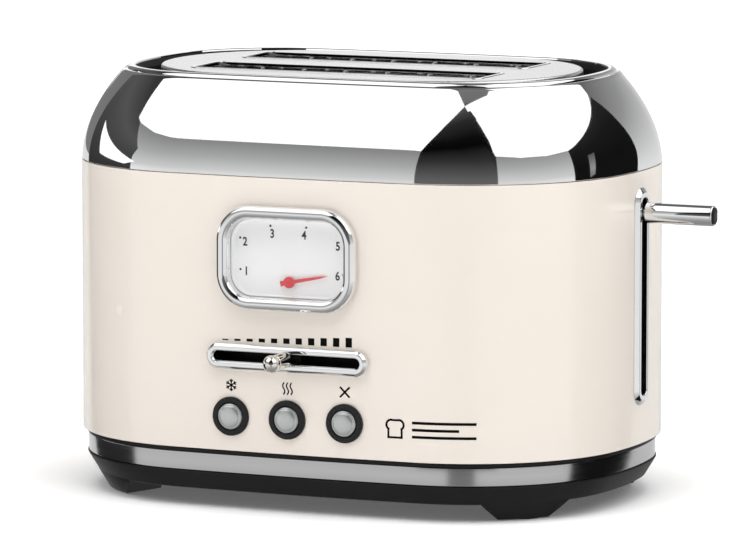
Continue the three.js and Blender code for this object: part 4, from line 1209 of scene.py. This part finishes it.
def glow(name, levels, distance):
    """Plain light whose strength runs through (elevation, level) stops."""
    f = Finish(name)
    height = f.node("SeparateXYZ", "Z", None, f.place) / (2 * distance) + 0.5
    ramp = f.node("ValToRGB", "Color", {"levels": levels}, height)
    f.set(Base_Color=(0.0, 0.0, 0.0), Roughness=1.0, Specular_IOR_Level=0.0, Emission_Color=ramp,
          Emission_Strength=1.0)
    return f.material


def panel(name, corners, levels, distance=PANEL_DISTANCE):
    """A light or a flag whose corners stand at azimuths from +X and elevations above the part."""
    clear_selection()
    bpy.ops.mesh.primitive_circle_add(vertices=len(corners), radius=1, fill_type="NGON")
    piece = named(name)
    centre = body_centre * MM + Vector((0, 0, PANEL_HEIGHT))
    for vertex, (azimuth, elevation) in zip(piece.data.vertices, corners):
        vertex.co = centre + direction(azimuth, elevation) * distance
    piece.data.materials.append(glow(name, levels, distance))
    piece.visible_camera = False
    piece.visible_shadow = False


def area_light(name, place, size, energy, colour=(1, 1, 1)):
    """Soft light that shows in no polished surface."""
    clear_selection()
    bpy.ops.object.light_add(type="AREA", location=place)
    light = bpy.context.object
    light.name = name
    light.data.size = size
    light.data.energy = energy
    light.data.color = colour
    light.rotation_euler = (Vector((0, 0, 0.1)) - light.location).to_track_quat("-Z", "Y").to_euler()
    light.visible_glossy = False


WHITE = 1.25


def make_lights():
    """Two softboxes, black and grey flags round them, and two lamps that show in no polish."""
    even = [(0, WHITE), (90, WHITE)]
    panel("left_softbox", [(-173, 32), (-160, 29.5), (-142, 28.5), (-125, 28.5), (-104, 30), (-96, 45),
                           (-86, 58), (-74, 67), (-96, 76), (-130, 82), (164, 80), (162, 66), (168, 52),
                           (180, 40)], even)
    panel("right_softbox", [(-48, 27), (-30, 24), (-10, 22.5), (9, 22.5), (40, 26), (67, 28), (74, 33),
                            (80, 60), (60, 82), (0, 76), (-35, 72), (-74, 67), (-62, 56), (-54, 42)], even)
    panel("front_flag", [(-104, -2), (-48, -2), (-48, 30), (-51, 48), (-60, 63), (-72, 70), (-85, 63),
                         (-94, 48), (-104, 32)],
          [(-2, 0.16), (3, 0.125), (10, 0.085), (20, 0.032), (31, 0.002), (37, 0.004), (50, 0.022),
           (62, 0.07), (75, 0.13)], PANEL_DISTANCE + 0.6)
    panel("front_leg", [(-82, -40), (-63, -40), (-63, -2), (-82, -2)], [(-30, 0.3), (-5, 0.26)])
    panel("top_flag", [(-72, 66), (-20, 71), (30, 84), (-150, 86), (-100, 75)], [(60, 0.1), (90, 0.2)],
          PANEL_DISTANCE + 0.9)
    panel("side_flag", [(8, -40), (57, -40), (66, 4), (67, 27), (40, 27), (9, 23)],
          [(-40, 0.01), (8, 0.006), (18, 0.01), (27, 0.02)], PANEL_DISTANCE + 0.3)
    panel("side_strip", [(22, 0), (27, 1), (31, 15), (24, 15)], [(-2, 0.1), (7, 0.3), (16, 0.1)],
          STRIP_DISTANCE)
    panel("side_wall", [(66, -40), (112, -40), (112, 30), (66, 30)],
          [(-40, 0.3), (-3, 0.8), (6, 0.55), (15, 0.3), (30, 0.12)], PANEL_DISTANCE + 0.9)
    panel("back_card", [(98, 2), (128, 2), (128, 34), (98, 34)], [(0, 1.0), (90, 1.0)],
          PANEL_DISTANCE - 0.4)
    panel("back_flag", [(120, -2), (160, -2), (160, 45), (120, 45)], [(-2, 0.2), (45, 0.15)],
          PANEL_DISTANCE + 0.6)
    panel("left_card", [(170, 2), (-160, 1), (-150, 4), (176, 12), (162, 14)], even, CARD_DISTANCE)
    panel("left_flag", [(-158, -40), (-153, 8), (-150, 14), (-163, 32), (176, 58), (150, 60), (150, -2),
                        (165, -40)],
          [(-40, 0.02), (-4, 0.03), (10, 0.06), (20, 0.09), (35, 0.04), (60, 0.02)],
          PANEL_DISTANCE + 0.4)
    area_light("overhead", (0.6, -1.2, 6.0), 5.0, 300, (1.0, 0.99, 0.98))
    area_light("front_fill", (-0.8, -5.4, 2.0), 3.5, 12, (1.0, 0.98, 0.96))


WORLD_LEVELS = ((-90, 0.25), (-45, 0.35), (-22, 0.6), (-9, 0.84), (-3, 0.74), (0, 0.85), (3, 0.64),
                (8, 0.55), (15, 0.42), (28, 0.26), (53, 0.1), (90, 0.15))


def make_world():
    """A studio that is plain white to look at, and pale grey in reflections, darker up and down."""
    world = bpy.data.worlds.new("studio")
    bpy.context.scene.world = world
    world.use_nodes = True
    tree = world.node_tree
    tree.nodes.clear()
    kinds = ("TexCoord", "SeparateXYZ", "MapRange", "ValToRGB", "LightPath", "Mix", "Background",
             "OutputWorld")
    nodes = [tree.nodes.new("ShaderNode" + kind) for kind in kinds]
    place, parts, height, ramp, path, mix, background, output = nodes
    height.inputs["From Min"].default_value = -1
    mix.data_type = "RGBA"
    mix.inputs[7].default_value = (1, 1, 1, 1)
    for start, end in ((place.outputs["Generated"], parts.inputs[0]),
                       (parts.outputs["Z"], height.inputs["Value"]),
                       (height.outputs[0], ramp.inputs["Fac"]),
                       (ramp.outputs["Color"], mix.inputs[6]),
                       (path.outputs["Is Camera Ray"], mix.inputs[0]),
                       (mix.outputs[2], background.inputs["Color"]),
                       (background.outputs[0], output.inputs["Surface"])):
        tree.links.new(start, end)
    fill_ramp(ramp.color_ramp, WORLD_LEVELS)


FLOOR_R = 25
GLOW_FROM, GLOW_TO = 1.0, 4.5


def make_floor():
    """A pale sheet that glows more the farther out it is, so that it ends in plain white."""
    clear_selection()
    bpy.ops.mesh.primitive_circle_add(vertices=96, radius=FLOOR_R, fill_type="NGON")
    floor = named("floor")
    f = Finish("pale_floor")
    f.set(Base_Color=f.blend(f.noise(3, 2), (0.93, 0.93, 0.93), (0.96, 0.96, 0.96)), Roughness=0.7)
    reach = f.node("VectorMath", "Value", {"operation": "LENGTH"}, f.place)
    glow_level = f.node("MapRange", "Result", None, Value=reach, From_Min=GLOW_FROM, From_Max=GLOW_TO,
                        To_Min=0.1, To_Max=1.0)
    f.set(Emission_Color=glow_level, Emission_Strength=1.0)
    floor.data.materials.append(f.material)
    floor.visible_glossy = False


# ------------------------------------------------------------------ assembly

for make in (
    dress_cad_nodes, make_camera, make_world, make_floor, make_lights,
    make_shell, make_dome, make_top_plate, make_base, make_base_screws,
    make_gauge, make_slider, make_buttons, make_lever,
    make_guides, make_heaters, make_lifts, make_tray, make_gland,
    make_browning_scale, make_button_icons, make_bread_mark,
):
    make()

bpy.context.scene.view_settings.view_transform = "Standard"
